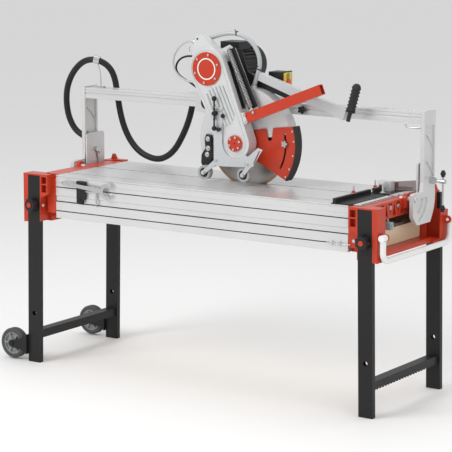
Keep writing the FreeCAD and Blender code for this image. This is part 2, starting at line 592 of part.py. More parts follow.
def bar_between(ax, az, bx, bz, wide_a, wide_b, y0, y1):
    d = math.hypot(bx - ax, bz - az)
    nx, nz = -(bz - az) / d, (bx - ax) / d
    p = [(ax + nx * wide_a / 2, az + nz * wide_a / 2), (bx + nx * wide_b / 2, bz + nz * wide_b / 2),
         (bx - nx * wide_b / 2, bz - nz * wide_b / 2), (ax - nx * wide_a / 2, az - nz * wide_a / 2)]
    return slab_y(p, y0, y1)


# brackets that carry the spring, on the case
S_TOP, S_LOW = (9.0, 1257.0), (115.0, 1034.0)
ear = slab_y([(-44, 1246), (6, 1270), (20, 1262), (20, 1250), (-12, 1212)], -13.4, -9)
low = slab_y([(70, 1050), (122, 1050), (134, 1010), (110, 985), (84, 1000)], -13.4, -9)
strap = bar_between(26, 1258, 132, 1030, 12, 12, -12, -9)
pins = [rod(x, -36, z, (0, 1, 0), 4, 24) for x, z in (S_TOP, S_LOW)]
case = NODES["belt_case"]
case = join([case, ear, low, strap] + pins)
node("belt_case", case)

d = math.hypot(S_LOW[0] - S_TOP[0], S_LOW[1] - S_TOP[1])
ux, uz = (S_LOW[0] - S_TOP[0]) / d, (S_LOW[1] - S_TOP[1]) / d
spring = tube(S_TOP[0] + ux * 8, -25, S_TOP[1] + uz * 8, (ux, 0, uz), 10.5, 7, d - 16)
node("tension_spring", spring)

# square red arm bolted to the case, and the handle arm above the guard
arm = bar_between(112, 1006, 433, 1131, 38, 38, -60, -34)
arm = arm.cut(bar_between(150, 1021, 436, 1132.2, 33, 33, -57.5, -36.5))
bolts = [rod(x, -64, z, (0, 1, 0), 6, 5) for x, z in ((108, 1018), (118, 992), (146, 1030))]
node("red_arm", join([arm] + bolts))
handle_arm = bar_between(113, 1155, 487, 1035, 30, 42, 22, 42)
handle_arm = handle_arm.cut(bar_between(105, 1157.5, 480, 1037.2, 24, 36, 25, 39))
pads = [rod(x, -33.6, z, (0, 1, 0), 7, 55.6) for x, z in ((304, 1083), (366, 1092))]
node("handle_arm", join([handle_arm] + pads))

g0, g1 = V(506, 32, 1046), V(532, 32, 1138)
gd = (g1 - g0)
gl = gd.Length
gd.normalize()
grip = Part.makeCylinder(14.5, gl, g0, gd)
rings = [Part.makeTorus(13.2, 4.2, g0 + gd * (10 + i * 13.5), gd) for i in range(7)]
stub = Part.makeCylinder(8, 36, g0 - gd * 36, gd)
node("grip", join([grip, Part.makeSphere(16, g1 - gd * 3), Part.makeCylinder(18, 5, g0, gd),
                   stub.cut(bar_between(400, 1062.6, 488, 1034.4, 60, 42.6, 20, 44))] + rings))

body = box(128, 186, 70, 130, 1118, 1170)
lid = box(186, 193, 68, 132, 1116, 1172)
mount = slab_y([(64, 1163), (64, 1112), (150, 1096), (250, 1066), (262, 1082), (120, 1132)], 42.2, 61.8)
mount = carve(mount, [rod(BLADE_X, 40, BLADE_Z, (0, 1, 0), 234, 11.5),
                      rod(BLADE_X, 50, BLADE_Z, (0, 1, 0), 208, 14)])
mount = join([mount, box(151, 175, 56, 72, 1112, 1128)])
sb = join([body, lid, mount])
sb = carve(sb, [rod(181, 100, z, (1, 0, 0), 9.2, 16) for z in (1156, 1133)])
node("switch_box", sb)
node("start_button", rod(186.5, 100, 1156, (1, 0, 0), 8.9, 10))
node("stop_button", join([rod(186.5, 100, 1133, (1, 0, 0), 8.9, 9), rod(195.5, 100, 1133, (1, 0, 0), 12, 5)]))

# ---------------------------------------------------------------- drive: blade, spindle, pulleys, belt
blade = rod(BLADE_X, AXIS_Y - 1.4, BLADE_Z, (0, 1, 0), BLADE_R, 2.8)
node("blade", blade.cut(rod(BLADE_X, AXIS_Y - 3, BLADE_Z, (0, 1, 0), 12.5, 6)))


def pulley(x, z, r, y0, y1):
    wheel_ = rod(x, y0, z, (0, 1, 0), r, y1 - y0)
    vees = []
    for i in range(3):
        y = y0 + 6 + i * 8
        vees.append(tube(x, y, z, (0, 1, 0), r + 1, r - 3.5, 3.5))
    return carve(wheel_, vees)


shaft = [rod(BLADE_X, -50, BLADE_Z, (0, 1, 0), 12, AXIS_Y - 1.4 + 50),
         rod(BLADE_X, AXIS_Y - 1.4, BLADE_Z, (0, 1, 0), 12.4, 2.8),
         rod(BLADE_X, AXIS_Y - 6, BLADE_Z, (0, 1, 0), 34, 4.6),
         rod(BLADE_X, AXIS_Y + 1.4, BLADE_Z, (0, 1, 0), 34, 4.6),
         rod(BLADE_X, AXIS_Y + 6, BLADE_Z, (0, 1, 0), 15, 12)]
node("spindle", join(shaft + [pulley(BLADE_X, BLADE_Z, 40, -48, -22)]))
node("motor_pulley", join([pulley(MOTOR_X, MOTOR_Z, 45, -48, -22),
                           rod(MOTOR_X, -50, MOTOR_Z, (0, 1, 0), 12, 126.6)]))
belt = link(MOTOR_X, MOTOR_Z, 49.3, BLADE_X, BLADE_Z, 44.3, -46, -24)
node("belt", belt.cut(link(MOTOR_X, MOTOR_Z, 45.3, BLADE_X, BLADE_Z, 40.3, -47, -23)))

# ---------------------------------------------------------------- swing guard, rim and its knob
SG_R = 226.0
edge = [(109, 955), (150, 963)] + arc(BLADE_X, BLADE_Z, SG_R, 18.5, -36, 20)
edge += [(123, 836), at(BLADE_X, BLADE_Z, 38, -70), at(BLADE_X, BLADE_Z, 38, -110)]
edge += arc(BLADE_X, BLADE_Z, 38, -130, -250, 12)
wall = join([slab_y(edge, 1, 4), tube(BLADE_X, 1, BLADE_Z, (0, 1, 0), 38, 22 + RUN, 3)])
wall = wall.cut(rod(BLADE_X, 0, BLADE_Z, (0, 1, 0), 22 + RUN, 5))
notch = slab_y([(150, 1010), (198, 1010), (187, 925), (179, 917), (171, 922)], 0, 5)
ring = arc(BLADE_X, BLADE_Z, 187, 14, -30, 16) + arc(BLADE_X, BLADE_Z, 178, -30, 14, 16)
wall = carve(wall, [notch, slab_y(ring, 0, 5)])
lip_pts = arc(BLADE_X, BLADE_Z, SG_R, 18.5, -36, 20) + arc(BLADE_X, BLADE_Z, SG_R - 3, -36, 18.5, 20)
wall = join([wall, slab_y(lip_pts, 1, 14)])
node("swing_guard", wall)
rim_pts = arc(BLADE_X, BLADE_Z, SG_R + 5, 18.2, -35.6, 24)
rim_pts += arc(BLADE_X, BLADE_Z, SG_R + 0.3, -35.6, 18.2, 24)
node("guard_rim", slab_y(rim_pts, -2, 40))

kx2, kz2 = at(BLADE_X, BLADE_Z, 182.5, 1.5)
arms = [rod(x, -10, z, (0, 1, 0), 4.2, 8) for x, z in arc(kx2, kz2, 9, 0, 288, 4)]
node("guard_knob", join([rod(kx2, -10, kz2, (0, 1, 0), 7.5, 8), rod(kx2, -2, kz2, (0, 1, 0), 4, 5.4),
                         rod(kx2, -2, kz2, (0, 1, 0), 8, 2.6)] + arms))

# ---------------------------------------------------------------- roller frame and its clamp
LEFT_R, RIGHT_R, ROLL = (-78.0, 787.0), (99.0, 791.0), 27.0
outline = [(-29, 1040), (11, 1040)] + arc(BLADE_X, BLADE_Z, 56, 180, 318, 20)
outline += [(124, 862), (168, 899), (189, 893), (158, 846), (146, 826), (112, 822), (-11, 817), (-29, 822)]
cplate = slab_y(outline, -66, -62)
arms = [bar_between(-14, 838, LEFT_R[0], LEFT_R[1], 20, 15, -66, -62),
        bar_between(140, 842, RIGHT_R[0], RIGHT_R[1], 20, 15, -66, -62)]
eyes = [rod(x, -66, z, (0, 1, 0), 9, 4) for x, z in (LEFT_R, RIGHT_R)]
axles = [rod(x, -71, z, (0, 1, 0), 5 - RUN, 34) for x, z in (LEFT_R, RIGHT_R)]
caps = [rod(x, a, z, (0, 1, 0), 7, 3) for x, z in (LEFT_R, RIGHT_R) for a in (-71, -37)]
cplate = join([cplate] + arms + eyes + axles + caps)
cplate = carve(cplate, [box(-23.3, -12.7, -67, -61, 989, 1034),
                        bar_between(150, 838, 176, 888, 5, 5, -67, -61)])
node("roller_plate", cplate)
for side, (x, z) in (("left", LEFT_R), ("right", RIGHT_R)):
    tyre = tube(x, -60, z, (0, 1, 0), ROLL, 5, 21)
    dish = tube(x, -61, z, (0, 1, 0), 18, 9, 5)
    node(side + "_roller", tyre.cut(dish))

cx, cz = -18.0, 1017.0
clamp = join([rod(cx, -57.5, cz, (0, -1, 0), 5, 20), rod(cx, -66.6, cz, (0, -1, 0), 9, 6),
              rod(cx, -72, cz, (0, -1, 0), 7.5, 14), rod(cx, -79, cz - 54, (0, 0, 1), 3.2, 108),
              Part.makeSphere(9.5, V(cx, -79, cz + 56)), Part.makeSphere(9.5, V(cx, -79, cz - 56))])
node("press_clamp", clamp)
node("belt_case", NODES["belt_case"].cut(rod(cx, -54, cz, (0, -1, 0), 5 + RUN, 8)))

# ---------------------------------------------------------------- hoses and cables held by the saw
UMBILICAL = [(-300, 192, 1024), (-308, 192, 990), (-318, 192, 955), (-334, 192, 915),
             (-356, 192, 873), (-384, 191, 828), (-421, 190, 794), (-468, 190, 776),
             (-518, 190, 782), (-566, 189, 803), (-606, 188, 842), (-634, 187, 890),
             (-652, 186, 944), (-662, 184, 1000), (-668, 182, 1048), (-674, 178, 1092),
             (-685, 164, 1132), (-711, 144, 1159), (-751, 128, 1168), (-795, 128, 1156),
             (-832, 128, 1127), (-862, 129, 1088), (-882, 131, 1040), (-888, 134, 985),
             (-881, 138, 930), (-860, 143, 884), (-828, 148, 856), (-792, 151, 844)]
node("umbilical", hose(UMBILICAL, 12.5, "umbilical"))
WATER = [(-104, 3, 1286), (-76, 6, 1296), (-45, 9, 1306), (-12, 13, 1312), (22, 16, 1311),
         (56, 19, 1301), (86, 22, 1280), (107, 24, 1251), (117, 27, 1217), (113, 29, 1181),
         (100, 31, 1148), (88, 32, 1118)]
node("water_hose", hose(WATER, 8.5, "water hose"))
CLEAR = [(-140, -30, 1276), (-166, -30, 1278), (-193, -29, 1268), (-219, -27, 1248),
         (-238, -24, 1222), (-246, -22, 1192), (-240, -21, 1162), (-219, -20, 1140),
         (-190, -19, 1126), (-162, -18, 1122), (-134, -18, 1121)]
node("clear_hose", hose(CLEAR, 4.0, "clear hose"))
BLACK = [(-150, 4, 1216), (-172, 1, 1218), (-197, -2, 1217), (-221, -5, 1208), (-238, -7, 1190),
         (-243, -8, 1168), (-233, -7, 1148), (-213, -5, 1133), (-190, -3, 1123), (-168, -1, 1110),
         (-146, 1, 1096)]
node("black_cable", hose(BLACK, 3.8, "black cable"))

# fittings: umbilical glands, hose tails on the case lug and the guard
gland_c = join([rod(-299.8, 192, 1024.6, (0.229, 0, 0.973), 17, 18), box(-316, -205, 177, 207, 1038, 1056)])
car = NODES["carriage"].Solids
node("carriage", Part.makeCompound([join([car[0], gland_c])] + car[1:]))
gland_p = join([rod(-792, 151, 844, (1, 0, -0.2), 16.5, 14), rod(-784, 151, 842, (1, 0, 0), 21, 5)])
node("left_post", join([NODES["left_post"], gland_p.common(box(-810, -779, 100, 200, 800, 880))]))
tails = [rod(-140, -30, 1276, (1, 0, 0), 7, 18), rod(-104, 3, 1286, (0, -1, 0), 11, 14),
         rod(-150, 4, 1216, (0.95, -0.3, 0), 6.5, 40), rod(-134, -18, 1121, (1, 0, 0), 6, 26)]
node("belt_case", join([NODES["belt_case"]] + tails))
node("upper_guard", join([NODES["upper_guard"], rod(88, 32, 1109, (0, 0, 1), 11, 9)]))

total = None
for name, shape in NODES.items():
    solids = shape.Solids
    bad = [i for i, q in enumerate(solids) if not q.isValid() or q.Volume < 1.0]
    if bad or not solids:
        print("CHECK", name, bad, len(solids))
    shape.translate(V(SHIFT_X, 0, 0))
    shape.exportStep("parts/%s.step" % name)
    total = shape.BoundBox if total is None else total.united(shape.BoundBox)
    print("%-18s solids %2d  vol %10.0f" % (name, len(solids), shape.Volume))
print(len(NODES), "nodes, box", total)
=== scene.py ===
import json
import math

import bmesh
import bpy
from mathutils import Matrix, Vector

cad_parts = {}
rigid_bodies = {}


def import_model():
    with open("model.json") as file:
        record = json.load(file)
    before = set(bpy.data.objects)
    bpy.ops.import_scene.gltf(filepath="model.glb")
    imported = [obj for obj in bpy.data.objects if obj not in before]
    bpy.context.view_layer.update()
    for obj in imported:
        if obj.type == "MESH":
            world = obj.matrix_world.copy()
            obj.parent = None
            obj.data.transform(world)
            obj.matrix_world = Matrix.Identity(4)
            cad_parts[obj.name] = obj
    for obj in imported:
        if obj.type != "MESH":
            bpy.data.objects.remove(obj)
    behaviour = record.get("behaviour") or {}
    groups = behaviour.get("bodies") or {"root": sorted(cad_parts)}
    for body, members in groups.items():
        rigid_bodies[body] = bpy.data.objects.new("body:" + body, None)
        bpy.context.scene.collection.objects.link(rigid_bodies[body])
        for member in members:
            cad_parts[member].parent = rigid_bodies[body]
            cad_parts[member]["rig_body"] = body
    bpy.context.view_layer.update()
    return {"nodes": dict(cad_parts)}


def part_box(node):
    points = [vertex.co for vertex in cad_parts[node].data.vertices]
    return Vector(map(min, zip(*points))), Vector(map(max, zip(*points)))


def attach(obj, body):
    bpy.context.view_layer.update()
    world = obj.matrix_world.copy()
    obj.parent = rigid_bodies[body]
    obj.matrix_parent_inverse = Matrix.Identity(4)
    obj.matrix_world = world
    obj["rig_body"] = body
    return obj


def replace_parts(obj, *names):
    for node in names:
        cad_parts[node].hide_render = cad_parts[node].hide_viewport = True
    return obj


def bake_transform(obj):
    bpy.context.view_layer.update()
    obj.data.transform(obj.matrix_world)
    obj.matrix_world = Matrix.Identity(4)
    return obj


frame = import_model()


# ---------------------------------------------------------------- table planks and side panels
# Long aluminium extrusions, mill finish, with fine die lines along their length. The side
# panels are bolted between the cast ends and the planks lie on top, with the blade's slot
# between them. Rubber strips fill their grooves.
def new_surface_group():
    """Faint clouding, a fine grain, softened edges that catch the light, and rubbed corners."""
    group = bpy.data.node_groups.new("worked surface", "ShaderNodeTree")
    for name, kind, value in (
        ("Colour", "NodeSocketColor", (0.5, 0.5, 0.5, 1)),
        ("Cloud Colour", "NodeSocketColor", (0.4, 0.4, 0.4, 1)),
        ("Rubbed Colour", "NodeSocketColor", (0.7, 0.7, 0.7, 1)),
        ("Cloud Scale", "NodeSocketFloat", 6.0),
        ("Grain Scale", "NodeSocketFloat", 300.0),
        ("Grain Stretch", "NodeSocketVector", (1, 1, 1)),
        ("Grain Depth", "NodeSocketFloat", 0.1),
        ("Rubbed Edges", "NodeSocketFloat", 0.0),
        ("Roughness", "NodeSocketFloat", 0.5),
        ("Roughness Spread", "NodeSocketFloat", 0.1),
    ):
        socket = group.interface.new_socket(name, in_out="INPUT", socket_type=kind)
        socket.default_value = value
    for name, kind in (("Colour", "NodeSocketColor"), ("Roughness", "NodeSocketFloat"),
                       ("Normal", "NodeSocketVector")):
        group.interface.new_socket(name, in_out="OUTPUT", socket_type=kind)
    nodes, join = group.nodes, group.links.new
    given = nodes.new("NodeGroupInput")
    result = nodes.new("NodeGroupOutput")
    place = nodes.new("ShaderNodeTexCoord")

    cloud = nodes.new("ShaderNodeTexNoise")
    cloud.inputs["Detail"].default_value = 5.0
    join(place.outputs["Object"], cloud.inputs["Vector"])
    join(given.outputs["Cloud Scale"], cloud.inputs["Scale"])
    clouded = nodes.new("ShaderNodeMix")
    clouded.data_type = "RGBA"
    join(cloud.outputs["Fac"], clouded.inputs["Factor"])
    join(given.outputs["Colour"], clouded.inputs["A"])
    join(given.outputs["Cloud Colour"], clouded.inputs["B"])

    stretch = nodes.new("ShaderNodeVectorMath")
    stretch.operation = "MULTIPLY"
    join(place.outputs["Object"], stretch.inputs[0])
    join(given.outputs["Grain Stretch"], stretch.inputs[1])
    grain = nodes.new("ShaderNodeTexNoise")
    grain.inputs["Detail"].default_value = 3.0
    join(stretch.outputs["Vector"], grain.inputs["Vector"])
    join(given.outputs["Grain Scale"], grain.inputs["Scale"])

    edge = nodes.new("ShaderNodeBevel")
    edge.samples = 4
    edge.inputs["Radius"].default_value = 0.0012
    face = nodes.new("ShaderNodeNewGeometry")
    match = nodes.new("ShaderNodeVectorMath")
    match.operation = "DOT_PRODUCT"
    join(edge.outputs["Normal"], match.inputs[0])
    join(face.outputs["Normal"], match.inputs[1])
    off = nodes.new("ShaderNodeMapRange")
    off.inputs["From Min"].default_value = 0.985
    off.inputs["From Max"].default_value = 0.80
    join(match.outputs["Value"], off.inputs["Value"])
    patchy = nodes.new("ShaderNodeMath")
    patchy.operation = "MULTIPLY"
    join(off.outputs["Result"], patchy.inputs[0])
    join(grain.outputs["Fac"], patchy.inputs[1])
    amount = nodes.new("ShaderNodeMath")
    amount.operation = "MULTIPLY"
    amount.use_clamp = True
    join(patchy.outputs["Value"], amount.inputs[0])
    join(given.outputs["Rubbed Edges"], amount.inputs[1])
    rubbed = nodes.new("ShaderNodeMix")
    rubbed.data_type = "RGBA"
    join(amount.outputs["Value"], rubbed.inputs["Factor"])
    join(clouded.outputs["Result"], rubbed.inputs["A"])
    join(given.outputs["Rubbed Colour"], rubbed.inputs["B"])
    join(rubbed.outputs["Result"], result.inputs["Colour"])

    swing = nodes.new("ShaderNodeMath")
    swing.operation = "SUBTRACT"
    swing.inputs[1].default_value = 0.5
    join(grain.outputs["Fac"], swing.inputs[0])
    rough = nodes.new("ShaderNodeMath")
    rough.operation = "MULTIPLY_ADD"
    rough.use_clamp = True
    join(swing.outputs["Value"], rough.inputs[0])
    join(given.outputs["Roughness Spread"], rough.inputs[1])
    join(given.outputs["Roughness"], rough.inputs[2])
    join(rough.outputs["Value"], result.inputs["Roughness"])

    relief = nodes.new("ShaderNodeBump")
    relief.inputs["Distance"].default_value = 0.0006
    join(given.outputs["Grain Depth"], relief.inputs["Strength"])
    join(grain.outputs["Fac"], relief.inputs["Height"])
    join(edge.outputs["Normal"], relief.inputs["Normal"])
    join(relief.outputs["Normal"], result.inputs["Normal"])
    return group


worked_surface = new_surface_group()


def surface(name, colour, cloud, roughness, metallic=0.0, spread=0.15, rubbed=(0.7, 0.7, 0.7),
            edges=0.0, cloud_scale=7.0, grain=350.0, stretch=(1, 1, 1), depth=0.12, coat=0.0,
            specular=0.5):
    """A finish in two near colours, worked over by the group."""
    material = bpy.data.materials.new(name)
    material.use_nodes = True
    tree = material.node_tree
    shader = tree.nodes["Principled BSDF"]
    shader.inputs["Metallic"].default_value = metallic
    shader.inputs["Specular IOR Level"].default_value = specular
    shader.inputs["Coat Weight"].default_value = coat
    shader.inputs["Coat Roughness"].default_value = 0.12
    detail = tree.nodes.new("ShaderNodeGroup")
    detail.node_tree = worked_surface
    detail.inputs["Colour"].default_value = (*colour, 1)
    detail.inputs["Cloud Colour"].default_value = (*cloud, 1)
    detail.inputs["Rubbed Colour"].default_value = (*rubbed, 1)
    detail.inputs["Cloud Scale"].default_value = cloud_scale
    detail.inputs["Grain Scale"].default_value = grain
    detail.inputs["Grain Stretch"].default_value = stretch
    detail.inputs["Grain Depth"].default_value = depth
    detail.inputs["Rubbed Edges"].default_value = edges
    detail.inputs["Roughness"].default_value = roughness
    detail.inputs["Roughness Spread"].default_value = spread
    tree.links.new(detail.outputs["Colour"], shader.inputs["Base Color"])
    tree.links.new(detail.outputs["Roughness"], shader.inputs["Roughness"])
    tree.links.new(detail.outputs["Normal"], shader.inputs["Normal"])
    return material


def coat_nodes(material, *names):
    """Puts one finish on every face of the named nodes."""
    for name in names:
        for holder in frame["nodes"][name].material_slots:
            holder.material = material


table_aluminium = surface("drawn aluminium", (0.74, 0.74, 0.74), (0.62, 0.62, 0.625), 0.36,
                          metallic=0.6, spread=0.25, cloud_scale=5.0, grain=260.0,
                          stretch=(0.02, 1, 1), depth=0.10)
coat_nodes(table_aluminium, "front_panel", "back_panel", "front_plank", "back_plank", "fence_rail",
           "fence_stop")
table_middle = sum(corner.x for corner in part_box("front_plank")) / 2
table_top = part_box("front_plank")[1].z
panel_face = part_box("front_panel")[0].y
bright_steel = surface("bright steel", (0.62, 0.62, 0.62), (0.52, 0.52, 0.52), 0.25, metallic=0.9,
                       spread=0.2, grain=500.0, depth=0.05)
dark_seam = surface("black rubber seam", (0.03, 0.03, 0.03), (0.02, 0.02, 0.02), 0.6)


def spot(x, y, z):
    """A place given in millimetres from the middle of the table, above the floor."""
    return Vector((table_middle + x / 1000, y / 1000, z / 1000))


def finished(name, mesh, material, body, crease=35):
    """Turns an edited mesh into a named piece that rides on its body."""
    bmesh.ops.recalc_face_normals(mesh, faces=mesh.faces)
    data = bpy.data.meshes.new(name)
    mesh.to_mesh(data)
    mesh.free()
    data.polygons.foreach_set("use_smooth", [True] * len(data.polygons))
    data.set_sharp_from_angle(angle=math.radians(crease))
    data.materials.append(material)
    piece = bpy.data.objects.new(name, data)
    bpy.context.scene.collection.objects.link(piece)
    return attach(piece, body)


def bar(mesh, start, end, radius, end_radius=None, sides=24, soften=0.0):
    """A round bar between two places, its rims softened."""
    axis = end - start
    turn = axis.to_track_quat("Z", "Y").to_matrix().to_4x4()
    made = bmesh.ops.create_cone(
        mesh, cap_ends=True, segments=sides, radius1=radius,
        radius2=radius if end_radius is None else end_radius, depth=axis.length,
        matrix=Matrix.Translation((start + end) / 2) @ turn)
    if soften > 0:
        caps = dict.fromkeys(f for v in made["verts"] for f in v.link_faces if len(f.verts) > 4)
        rims = list(dict.fromkeys(e for f in caps for e in f.edges))
        bmesh.ops.bevel(mesh, geom=rims, offset=soften, offset_type="OFFSET", segments=3,
                        profile=0.5, affect="EDGES", material=-1, clamp_overlap=True)


def block(mesh, low, high, soften=0.0008):
    """A rectangular block between two corners with softened edges."""
    size = high - low
    made = bmesh.ops.create_cube(
        mesh, size=1.0, matrix=Matrix.Translation((low + high) / 2) @ Matrix.Diagonal((*size, 1)))
    edges = list(dict.fromkeys(e for v in made["verts"] for e in v.link_edges))
    bmesh.ops.bevel(mesh, geom=edges, offset=soften, offset_type="OFFSET", segments=2, profile=0.5,
                    affect="EDGES", material=-1, clamp_overlap=True)


# Black rubber strips pressed into the grooves of the panels and planks.
strips = bmesh.new()
strip_reach, plank_strip_reach, strip_edge = 1.95, 0.0011, 0.0002
panel_left, panel_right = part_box("front_panel")[0].x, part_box("front_panel")[1].x
for z, recess in ((704, 3.0), (648, 4.5), (611, 3.2)):
    for sign in (-1, 1):
        face = sign * (panel_face * 1000 + recess)
        y0, y1 = min(-face, -face - sign) / 1000, max(-face, -face - sign) / 1000
        block(strips, Vector((panel_left, y0, (z - strip_reach) / 1000)),
              Vector((panel_right, y1, (z + strip_reach) / 1000)), strip_edge)
for plank, grooves in (("front_plank", 6), ("back_plank", 7)):
    low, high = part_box(plank)
    for i in range(grooves):
        y = low.y + (high.y - low.y) * (i + 1) / (grooves + 1)
        block(strips, Vector((low.x, y - plank_strip_reach, table_top - 0.0014)),
              Vector((high.x, y + plank_strip_reach, table_top - 0.0005)), strip_edge)
finished("groove_strips", strips, dark_seam, "table")

# Hold-down pin kept in the lowest groove of the front panel by two spring clips.
rod = bmesh.new()
rod_z = 611
bar(rod, spot(572, -236.0, rod_z), spot(668, -236.0, rod_z), 0.0022, sides=16, soften=0.0006)
for x in (590, 622):
    bar(rod, spot(x, -240.0, rod_z), spot(x, -232.5, rod_z), 0.0075, sides=24, soften=0.0014)
    bar(rod, spot(x + 4, -237.6, 614), spot(x + 19, -237.6, 608), 0.0018, sides=12, soften=0.0005)
finished("pin_in_groove", rod, bright_steel, "table")

# ---------------------------------------------------------------- ends of the table
# Die-cast end frames in orange-red paint, with bright rubbed corners, bolted to the ends of
# the panels. A light grey quadrant stands on each, and the bridge tilts against it.
red_paint = surface("orange-red paint", (0.53, 0.043, 0.015), (0.45, 0.034, 0.012), 0.33,
                    spread=0.12, rubbed=(0.80, 0.22, 0.13), edges=0.55, grain=700.0, depth=0.10,
                    coat=0.08, specular=0.32)
grey_casting = surface("light grey casting", (0.66, 0.665, 0.66), (0.58, 0.585, 0.58), 0.42,
                       metallic=0.25, spread=0.15, rubbed=(0.85, 0.85, 0.85), edges=0.5,
                       grain=900.0, depth=0.14, coat=0.1)
coat_nodes(red_paint, "right_end_frame", "left_end_frame")
coat_nodes(surface("mid grey plate", (0.68, 0.69, 0.69), (0.58, 0.59, 0.59), 0.42, metallic=0.3,
                   grain=800.0), "right_quadrant", "left_quadrant")

# Cast ribs that cross the lattice beams' pockets and turn them into diamonds.
ribs = bmesh.new()
lattice_x, lattice_reach, pocket_pitch, pockets = 730, 203, 58, 7
pocket_ribs = ((0, 741, 24, 741), (2, 720, 22, 720), (12, 702, 29, 740), (29, 700, 53, 700),
               (31, 722, 51, 722))
for sign in (1, -1):
    for i in range(pockets):
        first = -lattice_reach + pocket_pitch * i + 5
        for y0, z0, y1, z1 in pocket_ribs:
            if first + y1 < lattice_reach:
                bar(ribs, spot(lattice_x * sign, first + y0, z0),
                    spot(lattice_x * sign, first + y1, z1), 0.0019, sides=8)
    for y in (-176, -118, -60, 56, 114, 172):
        bar(ribs, spot(724 * sign, y, 714), spot(734.5 * sign, y, 714), 0.0062, 0.0052, sides=24)
finished("lattice_ribs", ribs, red_paint, "table")

# Bright bolts in the lattice beams and through the brackets, with washers.
bolts = bmesh.new()
bolt_z = 728
for sign in (1, -1):
    outer = 735.5 * sign
    for y in (-188, -130, -72, -14, 66, 128, 180):
        bar(bolts, spot(outer, y, bolt_z), spot(outer + 5 * sign, y, bolt_z), 0.0052, sides=6)
        bar(bolts, spot(outer, y, bolt_z), spot(outer + 1.6 * sign, y, bolt_z), 0.0085, sides=24)
    bar(bolts, spot(697 * sign, -263.6, 632), spot(697 * sign, -260, 632), 0.0065, sides=6)
finished("frame_bolts", bolts, bright_steel, "table")

# Square grey overflow fitting that hangs in the right-hand window.
fitting = bmesh.new()
block(fitting, spot(736, -116, 654), spot(762, -92, 682), 0.003)
bar(fitting, spot(762, -104, 668), spot(765, -104, 668), 0.008, soften=0.001)
bar(fitting, spot(744, -104, 682), spot(744, -104, 692), 0.004, soften=0.001)
grey_moulding_and_shade = surface("grey moulding and painted shade", (0.33, 0.35, 0.36), (0.29, 0.31, 0.32), 0.45, grain=900.0)
finished("overflow_fitting", fitting, grey_moulding_and_shade, "table")

# ---------------------------------------------------------------- legs, knobs and wheels
# Flat steel tubes in satin black powder coat, joined in pairs low down by a folded bar. They
# slide in the cast corner brackets, and a moulded knob holds each one. The saw rolls on two
# small rubber-tyred wheels.
leg_black = surface("black powder coat", (0.012, 0.012, 0.013), (0.02, 0.02, 0.021), 0.42,
                    spread=0.15, rubbed=(0.10, 0.10, 0.10), edges=0.6, grain=1200.0, depth=0.16,
                    specular=0.22)
moulded_black = surface("black moulding", (0.013, 0.013, 0.014), (0.02, 0.02, 0.02), 0.45,
                        rubbed=(0.08, 0.08, 0.08), edges=0.5, grain=1500.0, depth=0.15,
                        specular=0.28)
coat_nodes(leg_black, "right_legs", "left_legs")
coat_nodes(moulded_black, "right_front_knob", "right_back_knob", "left_front_knob",
           "left_back_knob", "tool_holder", "press_clamp")

# Red snap-in caps in the middle of the leg knobs.
cap_radius = 0.0098
for knob in ("right_front_knob", "right_back_knob", "left_front_knob", "left_back_knob"):
    low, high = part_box(knob)
    centre = (low + high) / 2
    out = -1 if centre.y < 0 else 1
    face = low.y if out < 0 else high.y
    cap = bmesh.new()
    bar(cap, Vector((centre.x, face - 0.001 * out, centre.z)),
        Vector((centre.x, face + 0.0025 * out, centre.z)), cap_radius, sides=40, soften=0.0012)
    finished(knob + "_cap", cap, red_paint, knob)

# Solid rubber tyres with three tread grooves on grey hubs with pressed spokes.
tyre_rubber = surface("tyre rubber", (0.05, 0.05, 0.052), (0.075, 0.075, 0.075), 0.72,
                      rubbed=(0.2, 0.2, 0.2), edges=0.6, grain=500.0, depth=0.3)
hub_grey = surface("grey hub moulding", (0.30, 0.31, 0.315), (0.25, 0.26, 0.26), 0.5, grain=900.0,
                   rubbed=(0.5, 0.5, 0.5), edges=0.4)
coat_nodes(hub_grey, "front_wheel_hub", "back_wheel_hub")
rubber_depth, groove_depth, spoke_count, spoke_offset = 0.016, 0.0022, 6, 0.010
for end in ("front", "back"):
    low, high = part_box(end + "_wheel_tyre")
    centre = (low + high) / 2
    outer_radius = (high.z - low.z) / 2
    half_width = (high.y - low.y) / 2
    inner_radius = outer_radius - rubber_depth
    section = [(inner_radius, -half_width + 0.001), (outer_radius - 0.006, -half_width),
               (outer_radius - 0.001, -half_width + 0.005)]
    for groove in (-0.008, 0.0, 0.008):
        section += [(outer_radius, groove - 0.0022), (outer_radius - groove_depth, groove - 0.0012),
                    (outer_radius - groove_depth, groove + 0.0012), (outer_radius, groove + 0.0022)]
    section += [(outer_radius - 0.001, half_width - 0.005), (outer_radius - 0.006, half_width),
                (inner_radius, half_width - 0.001)]
    tyre = bmesh.new()
    ring = [tyre.verts.new((centre.x + r, centre.y + y, centre.z)) for r, y in section]
    loop = [tyre.edges.new((a, b)) for a, b in zip(ring, ring[1:] + ring[:1])]
    bmesh.ops.spin(tyre, geom=ring + loop, cent=centre, axis=(0, 1, 0), angle=math.tau, steps=72,
                   use_merge=True)
    bmesh.ops.remove_doubles(tyre, verts=tyre.verts, dist=1e-6)
    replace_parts(finished(end + "_tyre_tread", tyre, tyre_rubber, end + "_wheel"),
                end + "_wheel_tyre")
    spokes = bmesh.new()
    for side in (-1, 1):
        for i in range(spoke_count):
            a = math.tau * i / spoke_count
            way = Vector((math.cos(a), 0, math.sin(a)))
            near = centre + way * 0.013 + Vector((0, side * spoke_offset, 0))
            far = centre + way * 0.0385 + Vector((0, side * spoke_offset, 0))
            bar(spokes, near, far, 0.0032, 0.0045, sides=12)
    finished(end + "_hub_spokes", spokes, hub_grey, end + "_wheel")

